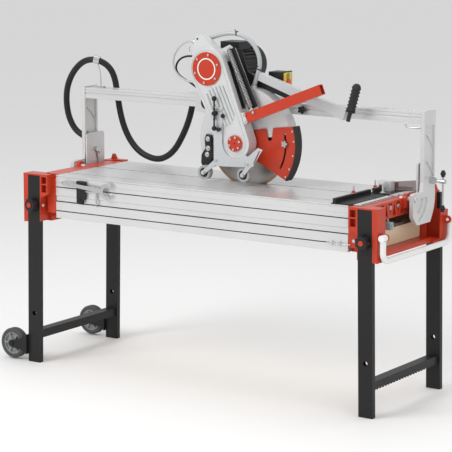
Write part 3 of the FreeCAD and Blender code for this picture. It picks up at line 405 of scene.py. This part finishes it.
# ---------------------------------------------------------------- carry handle
# Bent steel tube under a smooth white sleeve, hinged on the end of the table so that it
# swings up for lifting.
white_sleeve = surface("white sleeve", (0.82, 0.82, 0.81), (0.76, 0.76, 0.75), 0.35, spread=0.1,
                       grain=200.0, depth=0.05, coat=0.2)
coat_nodes(white_sleeve, "carry_handle")

# ---------------------------------------------------------------- water tank and pump
# Thin beige moulding that slides out from under the table. A grey submersible pump stands at
# its right end.
tank_beige = surface("beige moulding", (0.66, 0.50, 0.33), (0.72, 0.58, 0.42), 0.42, spread=0.1,
                     grain=150.0, depth=0.1)
coat_nodes(tank_beige, "water_tank")
pump_grey = surface("pump moulding", (0.52, 0.53, 0.53), (0.45, 0.46, 0.46), 0.4, grain=900.0)
pump = bmesh.new()
block(pump, spot(640, 40, 588), spot(700, 134, 640), 0.005)
block(pump, spot(652, 54, 640), spot(690, 120, 648), 0.003)
bar(pump, spot(640, 88, 618), spot(622, 88, 618), 0.008, soften=0.001)
for y in range(50, 130, 9):
    block(pump, spot(699.5, y, 594), spot(702, y + 4, 616), 0.0006)
finished("tank_pump", pump, pump_grey, "water_tank")

# ---------------------------------------------------------------- fence, scale and hand tools
# A white enamelled scale with printed ticks, a black toothed rail with a sliding stop, and a
# smoked angle guide. The tools hang in a moulded holder on the front panel.
coat_nodes(moulded_black, "fence_rail")


def ticked_scale():
    """White enamel with short black ticks every 5 mm and long ones every 25 mm along Y."""
    material = surface("printed scale", (0.62, 0.62, 0.61), (0.56, 0.56, 0.55), 0.34, coat=0.2)
    tree = material.node_tree
    place = tree.nodes.new("ShaderNodeTexCoord")
    split = tree.nodes.new("ShaderNodeSeparateXYZ")
    tree.links.new(place.outputs["Object"], split.inputs["Vector"])
    masks = []
    for spacing, width, reach in ((0.005, 0.0007, 0.712), (0.025, 0.0009, 0.721)):
        step = tree.nodes.new("ShaderNodeMath")
        step.operation = "PINGPONG"
        step.inputs[1].default_value = spacing / 2
        tree.links.new(split.outputs["Y"], step.inputs[0])
        line = tree.nodes.new("ShaderNodeMath")
        line.operation = "LESS_THAN"
        line.inputs[1].default_value = width / 2
        tree.links.new(step.outputs["Value"], line.inputs[0])
        short = tree.nodes.new("ShaderNodeMath")
        short.operation = "LESS_THAN"
        short.inputs[1].default_value = reach
        tree.links.new(split.outputs["X"], short.inputs[0])
        both = tree.nodes.new("ShaderNodeMath")
        both.operation = "MULTIPLY"
        tree.links.new(line.outputs["Value"], both.inputs[0])
        tree.links.new(short.outputs["Value"], both.inputs[1])
        masks.append(both)
    either = tree.nodes.new("ShaderNodeMath")
    either.operation = "MAXIMUM"
    tree.links.new(masks[0].outputs["Value"], either.inputs[0])
    tree.links.new(masks[1].outputs["Value"], either.inputs[1])
    detail = next(n for n in tree.nodes if n.type == "GROUP")
    ink = tree.nodes.new("ShaderNodeMix")
    ink.data_type = "RGBA"
    ink.inputs["B"].default_value = (0.03, 0.03, 0.03, 1)
    tree.links.new(either.outputs["Value"], ink.inputs["Factor"])
    tree.links.new(detail.outputs["Colour"], ink.inputs["A"])
    tree.links.new(ink.outputs["Result"], tree.nodes["Principled BSDF"].inputs["Base Color"])
    return material


coat_nodes(ticked_scale(), "scale_strip")
smoked = surface("smoked plastic", (0.20, 0.12, 0.115), (0.26, 0.15, 0.14), 0.2, spread=0.05,
                 grain=300.0, depth=0.03, coat=0.3)
smoked.node_tree.nodes["Principled BSDF"].inputs["Alpha"].default_value = 0.5
coat_nodes(smoked, "protractor")
tool_chrome = surface("plated tool steel", (0.60, 0.60, 0.61), (0.50, 0.50, 0.51), 0.18,
                      metallic=0.95, spread=0.15, depth=0.04)
coat_nodes(tool_chrome, "hand_tools", "hose_support", "left_tilt_clamp", "right_tilt_clamp",
           "guard_knob")

# Dark rubber lip between the rail and the scale, and another along the scale's outer edge.
lips = bmesh.new()
for x in (665.2, 696.5):
    for y0, y1 in ((-212, 18), (50, 68)):
        block(lips, spot(x - 1.6, y0, 752.6), spot(x + 1.6, y1, 754.4), 0.0004)
finished("scale_lips", lips, dark_seam, "table")

# Clamp screws on the fence: two bright studs with small red nuts.
studs = bmesh.new()
nuts = bmesh.new()
stud_x = 598
for y in (-96, 60):
    bar(studs, spot(stud_x, y, 768), spot(stud_x, y, 800), 0.0032, soften=0.0008)
    bar(studs, spot(stud_x, y, 771), spot(stud_x, y, 773), 0.008, soften=0.0005)
    bar(nuts, spot(stud_x, y, 773), spot(stud_x, y, 780), 0.0068, sides=6)
finished("fence_studs", studs, bright_steel, "table")
finished("fence_nuts", nuts, red_paint, "table")

# ---------------------------------------------------------------- bridge
# Cast light-grey posts with a ribbed aluminium beam bolted between them. The frame tilts on
# pins in the quadrants, and a clamp at each post holds its angle.
coat_nodes(grey_casting, "right_post", "left_post", "carriage")
coat_nodes(table_aluminium, "bridge_beam")

# Black stop knob on the beam's front groove, and a guide rod below the right-hand end.
stop_knob = bmesh.new()
knob_x, knob_z, lobes = 265, 1033, 5
bar(stop_knob, spot(knob_x, 97.5, knob_z), spot(knob_x, 86, knob_z), 0.006, soften=0.001)
bar(stop_knob, spot(knob_x, 90, knob_z), spot(knob_x, 79, knob_z), 0.011, sides=32, soften=0.002)
for i in range(lobes):
    a = math.tau * i / lobes
    x, z = knob_x + 10.5 * math.cos(a), knob_z + 10.5 * math.sin(a)
    bar(stop_knob, spot(x, 89, z), spot(x, 80, z), 0.0052, sides=20, soften=0.0015)
finished("beam_stop_knob", stop_knob, moulded_black, "bridge")
rest = bmesh.new()
bar(rest, spot(701, 95, 998), spot(764, 95, 998), 0.003, soften=0.0008)
bar(rest, spot(701, 95, 998), spot(701, 97.6, 1014), 0.003, soften=0.0008)
finished("beam_guide_rod", rest, bright_steel, "bridge")

# Black balls over the ends of the right tilt clamp's sliding bar, each with a short collar.
clamp_low, clamp_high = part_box("right_tilt_clamp")
clamp_x = spot(830, 0, 0).x
clamp_y = (clamp_low.y + clamp_high.y) / 2
balls = bmesh.new()
for z in (clamp_low.z + 0.0095, clamp_high.z - 0.0095):
    bmesh.ops.create_uvsphere(balls, u_segments=32, v_segments=20, radius=0.0101,
                              matrix=Matrix.Translation((clamp_x, clamp_y, z)))
    bar(balls, Vector((clamp_x, clamp_y, z - 0.0125)), Vector((clamp_x, clamp_y, z + 0.0125)),
        0.0066, sides=24, soften=0.001)
finished("tilt_clamp_balls", balls, moulded_black, "right_tilt_clamp")

# ---------------------------------------------------------------- belt case
# Blasted silver casting that carries the motor at its top and the disc at its foot, ribbed
# between its two round covers. The covers, arm and guard are in the same red as the frames.
silver_case = surface("blasted silver casting", (0.68, 0.685, 0.685), (0.58, 0.585, 0.59), 0.40,
                      metallic=0.35, spread=0.2, rubbed=(0.9, 0.9, 0.9), edges=0.6, grain=1100.0,
                      depth=0.18)
coat_nodes(silver_case, "belt_case", "upper_guard")
coat_nodes(red_paint, "case_covers", "red_arm", "swing_guard")
coat_nodes(surface("brushed pale aluminium", (0.62, 0.64, 0.65), (0.52, 0.54, 0.55), 0.40,
                   metallic=0.5, grain=300.0, stretch=(1, 0.05, 1)), "handle_arm", "roller_plate")

# Raised stiffening ribs cast into the case's face between the covers.
ribs = bmesh.new()
motor_x, motor_z, blade_x, blade_z = -63.0, 1180.0, 65.0, 908.0
run_x, run_z = blade_x - motor_x, blade_z - motor_z
run_length = math.hypot(run_x, run_z)
along_x, along_z = run_x / run_length, run_z / run_length
rib_y, shade_line_y = -60.2, -60.3


def beside_belt(reach, offset, y):
    """A place on the case's face, so far down the belt's line and so far to one side of it."""
    return spot(motor_x + along_x * reach - along_z * offset, y,
                motor_z + along_z * reach + along_x * offset)


for offset, first, last in ((-46, 84, 196), (-31, 74, 214), (-15, 68, 224), (1, 66, 232),
                            (17, 68, 226), (33, 76, 214), (47, 88, 196)):
    bar(ribs, beside_belt(first, offset, rib_y), beside_belt(last, offset, rib_y), 0.0042, 0.0034,
        sides=16)
bmesh.ops.scale(ribs, vec=(1, 0.85, 1), verts=ribs.verts,
                space=Matrix.Translation(-spot(0, rib_y, 1044)))
finished("case_ribs", ribs, silver_case, "head", crease=60)
# Painted shade: thin grey bars between the ribs darken the valleys where shade falls.
shade_lines = bmesh.new()
for offset, first, last in ((-38.5, 84, 206), (-23, 78, 220), (-7, 76, 228), (9, 76, 228),
                            (25, 78, 220), (40, 84, 206)):
    bar(shade_lines, beside_belt(first, offset, shade_line_y), beside_belt(last, offset, shade_line_y), 0.0014,
        sides=8)
finished("case_rib_shade_lines", shade_lines, grey_moulding_and_shade, "head")

# White ring painted in the groove of the upper cover, and bright screws in both covers.
cover_face = -65.0
ring_paint = surface("white ring paint", (0.85, 0.85, 0.84), (0.80, 0.80, 0.79), 0.35)
white_ring = bmesh.new()
inner, outer = 36.2, 40.8
corners = [white_ring.verts.new(spot(motor_x + r, cover_face + y, motor_z))
           for r, y in ((inner, 1.4), (inner, -0.3), (outer, -0.3), (outer, 1.4))]
around = [white_ring.edges.new(pair) for pair in zip(corners, corners[1:] + corners[:1])]
bmesh.ops.spin(white_ring, geom=corners + around, cent=spot(motor_x, cover_face, motor_z),
               axis=(0, 1, 0), angle=math.tau, steps=72, use_merge=True)
bmesh.ops.remove_doubles(white_ring, verts=white_ring.verts, dist=1e-6)
finished("cover_ring", white_ring, ring_paint, "head")
screws = bmesh.new()
screw_radius = 0.0044
for x, z, reach, face in ((motor_x, motor_z, 53, -68), (blade_x, blade_z, 23, -70)):
    for i in range(6):
        a = math.radians(20 + 60 * i)
        sx, sz = x + reach * math.cos(a), z + reach * math.sin(a)
        bar(screws, spot(sx, face + 2, sz), spot(sx, face - 1.2, sz), screw_radius, sides=20,
            soften=0.001)
for x, z in ((108, 1018), (118, 992), (146, 1030)):
    bar(screws, spot(x, -63.5, z), spot(x, -67, z), 0.0058, sides=6)
finished("cover_screws", screws, bright_steel, "head")

# ---------------------------------------------------------------- tension spring
# A close-wound steel spring hooked between two pins on the case by an eye at each end. It
# balances the head's weight. A thin black plate darkens the space behind it.
spring_top, spring_end = spot(9, -25, 1257), spot(115, -25, 1034)
coil_radius, wire_radius, coils = 0.0088, 0.0016, 42
run = spring_end - spring_top
coil_length = run.length - 0.020
coil = bmesh.new()
wire = bmesh.ops.create_circle(coil, segments=10, radius=wire_radius,
                               matrix=Matrix.Translation((coil_radius, 0, 0))
                               @ Matrix.Rotation(math.pi / 2, 4, "X"))
turns = wire["verts"] + list(coil.edges)
steps_per_turn = 20
bmesh.ops.spin(coil, geom=turns, cent=(0, 0, 0), axis=(0, 0, 1),
               dvec=(0, 0, coil_length / (coils * steps_per_turn)), angle=math.tau * coils,
               steps=coils * steps_per_turn)
bmesh.ops.holes_fill(coil, edges=coil.edges, sides=12)
turn = run.to_track_quat("Z", "Y").to_matrix().to_4x4()
bmesh.ops.transform(coil, verts=coil.verts,
                    matrix=Matrix.Translation(spring_top + run.normalized() * 0.010) @ turn)
spring_steel = surface("spring steel", (0.58, 0.58, 0.58), (0.48, 0.48, 0.48), 0.28,
                       metallic=0.85)


def plate(mesh, outline, depth):
    """A flat plate of the given outline, pushed through by a depth."""
    near = [mesh.verts.new(corner) for corner in outline]
    far = [mesh.verts.new(corner + depth) for corner in outline]
    mesh.faces.new(near)
    mesh.faces.new(far[::-1])
    for i in range(len(outline)):
        after = (i + 1) % len(outline)
        mesh.faces.new((near[i], far[i], far[after], near[after]))


# Black band darkening the back half of the case's side, and a thin black plate behind the spring.
dark_band = bmesh.new()
lean = math.radians(21.4)
out = Vector((math.cos(lean), 0, math.sin(lean)))
wall_top, wall_foot = spot(11.5, -36, 1209.2), spot(79.3, -36, 1036)
plate(dark_band, [wall_top + out * 0.0002, wall_foot + out * 0.0002, wall_foot + out * 0.0022,
             wall_top + out * 0.0022], Vector((0, 0.022, 0)))
finished("case_side_dark_band", dark_band, moulded_black, "head")
dark_plate = bmesh.new()
side = Vector((-run.z, 0, run.x)).normalized()
near, far = spring_top + run.normalized() * 0.004, spring_end - run.normalized() * 0.004
corners = (near + side * 0.0225, far + side * 0.0225, far - side * 0.020, near - side * 0.016)
plate(dark_plate, [corner + Vector((0, 0.0106, 0)) for corner in corners], Vector((0, 0.0012, 0)))
finished("spring_dark_plate", dark_plate, moulded_black, "head")
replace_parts(finished("wound_spring", coil, spring_steel, "head", crease=60),
            "tension_spring")
hooks = bmesh.new()
for place, way in ((spring_top, 1), (spring_end, -1)):
    bar(hooks, place + Vector((0, -0.004, 0)), place + Vector((0, 0.004, 0)), 0.0075, sides=32,
        soften=0.001)
    bar(hooks, place, place + run.normalized() * 0.014 * way, 0.0026, sides=14)
finished("spring_eyes", hooks, spring_steel, "head")

# ---------------------------------------------------------------- motor and switch
# Finned black motor with its hood, bolted to the back of the case. The black switch carrier
# has a yellow face with a green and a red button.
coat_nodes(surface("motor black", (0.013, 0.013, 0.014), (0.024, 0.024, 0.025), 0.42,
                   rubbed=(0.12, 0.12, 0.12), edges=0.5, grain=900.0, depth=0.2, specular=0.28),
           "motor", "head_plate")
coat_nodes(moulded_black, "switch_box")
face = bmesh.new()
block(face, spot(192.6, 72, 1120), spot(194.6, 128, 1168), 0.0008)
for z in (1156, 1133):
    bmesh.ops.create_cone(face, cap_ends=False, segments=40, radius1=0.0125, radius2=0.0115,
                          depth=0.002, matrix=Matrix.Translation(spot(195.4, 100, z))
                          @ Matrix.Rotation(math.pi / 2, 4, "Y"))
yellow = surface("yellow moulding", (0.80, 0.50, 0.03), (0.74, 0.45, 0.03), 0.35, grain=900.0,
                 coat=0.15)
finished("switch_face", face, yellow, "head")
coat_nodes(surface("green button", (0.02, 0.36, 0.10), (0.02, 0.32, 0.09), 0.3, coat=0.3),
           "start_button")
coat_nodes(surface("red button", (0.68, 0.03, 0.02), (0.62, 0.03, 0.02), 0.3, coat=0.3),
           "stop_button")

# ---------------------------------------------------------------- blade and drive
# Ground steel disc with turning marks round its centre and a bronze bonded rim, clamped on the
# spindle. A rubber belt inside the case drives it.
def disc_steel():
    """Dull ground steel in fine rings, turning to the bonded rim's bronze at the edge."""
    material = surface("ground disc", (0.24, 0.22, 0.205), (0.31, 0.29, 0.275), 0.34, metallic=0.75,
                       spread=0.2, grain=200.0, depth=0.05)
    tree = material.node_tree
    place = tree.nodes.new("ShaderNodeTexCoord")
    centred = tree.nodes.new("ShaderNodeMapping")
    low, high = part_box("blade")
    middle = (low + high) / 2
    centred.inputs["Location"].default_value = (-middle.x, 0, -middle.z)
    centred.inputs["Scale"].default_value = (1, 0, 1)
    tree.links.new(place.outputs["Object"], centred.inputs["Vector"])
    reach = tree.nodes.new("ShaderNodeVectorMath")
    reach.operation = "LENGTH"
    tree.links.new(centred.outputs["Vector"], reach.inputs[0])
    rings = tree.nodes.new("ShaderNodeTexNoise")
    rings.noise_dimensions = "1D"
    rings.inputs["Scale"].default_value = 900.0
    tree.links.new(reach.outputs["Value"], rings.inputs["W"])
    rim = tree.nodes.new("ShaderNodeMapRange")
    rim.inputs["From Min"].default_value = 0.163
    rim.inputs["From Max"].default_value = 0.165
    tree.links.new(reach.outputs["Value"], rim.inputs["Value"])
    detail = next(n for n in tree.nodes if n.type == "GROUP")
    marked = tree.nodes.new("ShaderNodeMix")
    marked.data_type = "RGBA"
    marked.inputs["B"].default_value = (0.36, 0.335, 0.315, 1)
    tree.links.new(rings.outputs["Fac"], marked.inputs["Factor"])
    tree.links.new(detail.outputs["Colour"], marked.inputs["A"])
    banded = tree.nodes.new("ShaderNodeMix")
    banded.data_type = "RGBA"
    banded.inputs["B"].default_value = (0.33, 0.21, 0.13, 1)
    tree.links.new(rim.outputs["Result"], banded.inputs["Factor"])
    tree.links.new(marked.outputs["Result"], banded.inputs["A"])
    tree.links.new(banded.outputs["Result"], tree.nodes["Principled BSDF"].inputs["Base Color"])
    return material


coat_nodes(disc_steel(), "blade")
coat_nodes(bright_steel, "spindle", "motor_pulley")
coat_nodes(surface("belt rubber", (0.03, 0.03, 0.03), (0.045, 0.045, 0.045), 0.7), "belt")

# ---------------------------------------------------------------- guard rim, grip and rollers
# Black rubber splash rim screwed round the guard, a black ribbed grip pushed on its arm, and
# two grey rubber rollers with black centres that run on the tile.
soft_black = surface("soft black rubber", (0.018, 0.018, 0.018), (0.03, 0.03, 0.03), 0.6,
                     grain=1300.0, depth=0.3, rubbed=(0.1, 0.1, 0.1), edges=0.4, specular=0.3)
coat_nodes(soft_black, "guard_rim", "grip")
coat_nodes(surface("grey roller rubber", (0.40, 0.41, 0.41), (0.34, 0.35, 0.35), 0.6,
                   grain=900.0), "left_roller", "right_roller")
for side in ("left", "right"):
    low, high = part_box(side + "_roller")
    centre = (low + high) / 2
    insert = bmesh.new()
    for out in (-1, 1):
        face_y = centre.y + out * (high.y - low.y) / 2
        made = bmesh.ops.create_circle(insert, cap_ends=False, segments=48, radius=0.0185,
                                       matrix=Matrix.Translation((centre.x, face_y, centre.z))
                                       @ Matrix.Rotation(math.pi / 2, 4, "X"))
        edges = list(dict.fromkeys(e for v in made["verts"] for e in v.link_edges))
        inner = bmesh.ops.extrude_edge_only(insert, edges=edges)["geom"]
        verts = [g for g in inner if isinstance(g, bmesh.types.BMVert)]
        bmesh.ops.scale(insert, vec=(0.52, 1, 0.52), verts=verts,
                        space=Matrix.Translation(-centre))
        bmesh.ops.translate(insert, vec=(0, -out * 0.0036, 0), verts=verts)
    bmesh.ops.solidify(insert, geom=insert.faces, thickness=0.0008)
    finished(side + "_roller_insert", insert, moulded_black, side + "_roller")

# Two small black clamping knobs on the roller frame beside the press clamp.
frame_knobs = bmesh.new()
for x, z, reach in ((15, 1009, -74.6), (2, 958, -84)):
    bar(frame_knobs, spot(x, -66.2, z), spot(x, reach + 4, z), 0.0042, sides=20, soften=0.0006)
    bar(frame_knobs, spot(x, reach + 6.5, z), spot(x, reach, z), 0.0088, 0.0078, sides=32,
        soften=0.0015)
finished("roller_frame_knobs", frame_knobs, moulded_black, "roller_frame")

# Moulded black splash flap bolted to the guard behind the left roller: a narrow neck above a
# thick lower lip.
flap = bmesh.new()
profile = [(-82, 922), (-104, 926), (-112, 908), (-108, 872), (-126, 846), (-128, 812), (-112, 801),
           (-78, 806), (-70, 850), (-78, 886)]
flap.faces.new([flap.verts.new(spot(x, 6.2, z)) for x, z in profile])
bmesh.ops.subdivide_edges(flap, edges=flap.edges, cuts=2, use_grid_fill=True)
swept = bmesh.ops.extrude_face_region(flap, geom=list(flap.faces))
moved = [g for g in swept["geom"] if isinstance(g, bmesh.types.BMVert)]
bmesh.ops.translate(flap, vec=(0, -0.014, 0), verts=moved)
bmesh.ops.recalc_face_normals(flap, faces=flap.faces)
edges = [e for e in flap.edges if len(e.link_faces) == 2 and e.calc_face_angle() > 1.0]
bmesh.ops.bevel(flap, geom=edges, offset=0.003, offset_type="OFFSET", segments=3, profile=0.5,
                affect="EDGES", material=-1, clamp_overlap=True)
block(flap, spot(-122, -12, 806), spot(-78, -7, 838), 0.002)
finished("splash_flap", flap, moulded_black, "head")
flap_bolts = bmesh.new()
for x, z in ((-95, 908), (-94, 872), (-98, 848)):
    bar(flap_bolts, spot(x, 6, z), spot(x, -13, z), 0.0062, sides=6)
    bar(flap_bolts, spot(x, 6, z), spot(x, -9.5, z), 0.010, sides=28)
finished("splash_flap_bolts", flap_bolts, bright_steel, "head")

# Bright bolts that hold the roller frame, the guard's rim screws and the press clamp's washer.
studs = bmesh.new()
for x, z in ((-20, 838), (120, 834), (1, 1030)):
    bar(studs, spot(x, -66, z), spot(x, -70, z), 0.0058, sides=6)
    bar(studs, spot(x, -66, z), spot(x, -67.2, z), 0.0085, sides=24)
finished("roller_frame_bolts", studs, bright_steel, "roller_frame")
rim_screws = bmesh.new()
rim_reach = 219
for degrees in (-33, -24, -10, 4, 14):
    a = math.radians(degrees)
    x, z = blade_x + rim_reach * math.cos(a), blade_z + rim_reach * math.sin(a)
    bar(rim_screws, spot(x, 1.4, z), spot(x, -1.6, z), 0.0036, sides=16, soften=0.0008)
finished("guard_rim_screws", rim_screws, bright_steel, "swing_guard")

# ---------------------------------------------------------------- hoses and cables
# Flexible lines on smooth curves: thick black umbilical, grey water hose, clear drip tube,
# and a thin black motor lead.
cable_black = surface("cable sheath", (0.012, 0.012, 0.013), (0.020, 0.020, 0.020), 0.42,
                      grain=600.0, depth=0.15, specular=0.25)
hose_grey = surface("water hose", (0.46, 0.48, 0.49), (0.40, 0.42, 0.43), 0.3, spread=0.1,
                    grain=300.0, depth=0.06, coat=0.2)
clear_tube = surface("clear tube", (0.56, 0.58, 0.58), (0.50, 0.52, 0.52), 0.18, spread=0.05,
                     depth=0.03)
clear_tube.node_tree.nodes["Principled BSDF"].inputs["Alpha"].default_value = 0.85


def flexible_line(name, route, diameter, material, body, node):
    """A round line on a smooth curve through its route, riding on one body."""
    line = bpy.data.curves.new(name, "CURVE")
    line.dimensions = "3D"
    line.bevel_depth = diameter / 2
    line.bevel_resolution = 6
    line.use_fill_caps = True
    line.resolution_u = 10
    spline = line.splines.new("NURBS")
    spline.points.add(len(route) - 1)
    for point, place in zip(spline.points, route):
        point.co = (*spot(*place), 1)
    spline.order_u = 3
    spline.use_endpoint_u = True
    line.materials.append(material)
    piece = bpy.data.objects.new(name, line)
    bpy.context.scene.collection.objects.link(piece)
    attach(piece, body)
    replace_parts(piece, node)
    return piece


water_route = [(-104, 3, 1286), (-76, 6, 1296), (-45, 9, 1306), (-12, 13, 1312), (22, 16, 1311),
               (56, 19, 1301), (86, 22, 1280), (107, 24, 1251), (117, 27, 1217), (113, 29, 1181),
               (100, 31, 1148), (88, 32, 1118)]
water_hose = flexible_line("water_line", water_route, 0.017, hose_grey, "head",
                           "water_hose")
clear_route = [(-140, -30, 1276), (-166, -30, 1278), (-193, -29, 1268), (-219, -27, 1248),
               (-238, -24, 1222), (-246, -22, 1192), (-240, -21, 1162), (-219, -20, 1140),
               (-190, -19, 1126), (-162, -18, 1122), (-134, -18, 1121)]
clear_hose = flexible_line("drip_line", clear_route, 0.008, clear_tube, "head",
                           "clear_hose")
lead_route = [(-150, 4, 1216), (-172, 1, 1218), (-197, -2, 1217), (-221, -5, 1208),
              (-238, -7, 1190), (-243, -8, 1168), (-233, -7, 1148), (-213, -5, 1133),
              (-190, -3, 1123), (-168, -1, 1110), (-146, 1, 1096)]
motor_lead = flexible_line("motor_lead", lead_route, 0.0076, cable_black, "head",
                           "black_cable")

# Black ties round the water hose, and the clips where the lines meet the case lug.
ties = bmesh.new()
for place, way in (((22, 16, 1311), (1, 0, 0)), ((113, 29, 1181), (-0.3, 0, -1))):
    middle, along = spot(*place), Vector(way).normalized() * 0.0022
    bar(ties, middle - along, middle + along, 0.0098, sides=28, soften=0.0008)
    bar(ties, middle + Vector((0, -0.008, 0.008)), middle + Vector((0, -0.016, 0.016)), 0.0016,
        sides=8)
finished("hose_ties", ties, moulded_black, "head")
clips = bmesh.new()
bar(clips, spot(-139, -30, 1276), spot(-146, -30, 1276.6), 0.0072, sides=28, soften=0.001)
bar(clips, spot(-128, -30, 1276), spot(-120, -30, 1276), 0.0085, sides=6)
hook = [(-143, 1256), (-158, 1256), (-160, 1253), (-160, 1236), (-157, 1234), (-145, 1234),
        (-143, 1237), (-143, 1256)]
for (ax, az), (bx, bz) in zip(hook, hook[1:]):
    bar(clips, spot(ax, -34, az), spot(bx, -34, bz), 0.0013, sides=10)
finished("hose_clips", clips, tool_chrome, "head")

# ---------------------------------------------------------------- umbilical
# The supply hose hangs from the carriage, loops up through its holder and down to the gland on
# the left post.
umbilical_route = [
    (-300, 192, 1024), (-308, 192, 990), (-318, 192, 955), (-334, 192, 915), (-356, 192, 873),
    (-384, 191, 828), (-421, 190, 794), (-468, 190, 776), (-518, 190, 782), (-566, 189, 803),
    (-606, 188, 842), (-634, 187, 890), (-652, 186, 944), (-662, 184, 1000), (-668, 182, 1048),
    (-674, 178, 1092), (-685, 164, 1132), (-711, 144, 1159), (-751, 128, 1168), (-795, 128, 1156),
    (-832, 128, 1127), (-862, 129, 1088), (-882, 131, 1040), (-888, 134, 985), (-881, 138, 930),
    (-860, 143, 884), (-828, 148, 856), (-792, 151, 844)]
guide = flexible_line("umbilical_guide", umbilical_route, 0.025, cable_black, "bridge",
                      "umbilical")
guide.parent = None
del guide["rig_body"]
depsgraph = bpy.context.evaluated_depsgraph_get()
tube_mesh = bpy.data.meshes.new_from_object(guide.evaluated_get(depsgraph))
guide.data.bevel_depth = 0
depsgraph = bpy.context.evaluated_depsgraph_get()
centre_mesh = bpy.data.meshes.new_from_object(guide.evaluated_get(depsgraph))
bpy.data.objects.remove(guide)
tube_mesh.name = "umbilical_hose"
tube_mesh.polygons.foreach_set("use_smooth", [True] * len(tube_mesh.polygons))
umbilical = bpy.data.objects.new("umbilical_hose", tube_mesh)
bpy.context.scene.collection.objects.link(umbilical)
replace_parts(umbilical, "umbilical")
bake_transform(umbilical)

# ---------------------------------------------------------------- floor, light and camera
# A plain pale floor, three broad soft lights and a long lens from the front right, slightly
# above the beam.
floor_mesh = bmesh.new()
bmesh.ops.create_grid(floor_mesh, x_segments=4, y_segments=4, size=90.0)
floor_data = bpy.data.meshes.new("floor")
floor_mesh.to_mesh(floor_data)
floor_mesh.free()
floor = bpy.data.objects.new("floor", floor_data)
bpy.context.scene.collection.objects.link(floor)
floor_data.materials.append(surface("pale floor", (0.90, 0.90, 0.90), (0.885, 0.885, 0.885), 0.7,
                                    spread=0.05, cloud_scale=1.5, grain=40.0, depth=0.0))

world = bpy.data.worlds.new("studio")
world.use_nodes = True
sky = world.node_tree.nodes["Background"]
sky.inputs["Color"].default_value = (1.0, 1.0, 1.0, 1)
sky.inputs["Strength"].default_value = 0.74
bpy.context.scene.world = world


def softbox(name, place, aim, size, watts):
    """A square soft light that points at its aim."""
    lamp = bpy.data.lights.new(name, "AREA")
    lamp.size = size
    lamp.energy = watts
    holder = bpy.data.objects.new(name, lamp)
    holder.location = place
    holder.rotation_euler = (Vector(aim) - Vector(place)).to_track_quat("-Z", "Y").to_euler()
    bpy.context.scene.collection.objects.link(holder)


softbox("key", (-1.6, -3.4, 3.6), (0, 0, 0.7), 2.2, 92)
softbox("fill", (3.6, -1.6, 2.4), (0, 0, 0.7), 2.5, 26)
softbox("top", (0.2, 0.8, 4.2), (0, 0, 0.6), 3.0, 30)

camera_data = bpy.data.cameras.new("camera")
camera_data.lens = 162.0
camera_data.sensor_width = 36.0
camera_data.clip_end = 300.0
camera = bpy.data.objects.new("camera", camera_data)
camera.location = spot(4231.6, -6340, 1913)
camera.rotation_euler = (math.radians(90 - 9.92), 0, math.radians(33.83))
bpy.context.scene.collection.objects.link(camera)
bpy.context.scene.camera = camera
bpy.context.scene.view_settings.view_transform = "Standard"
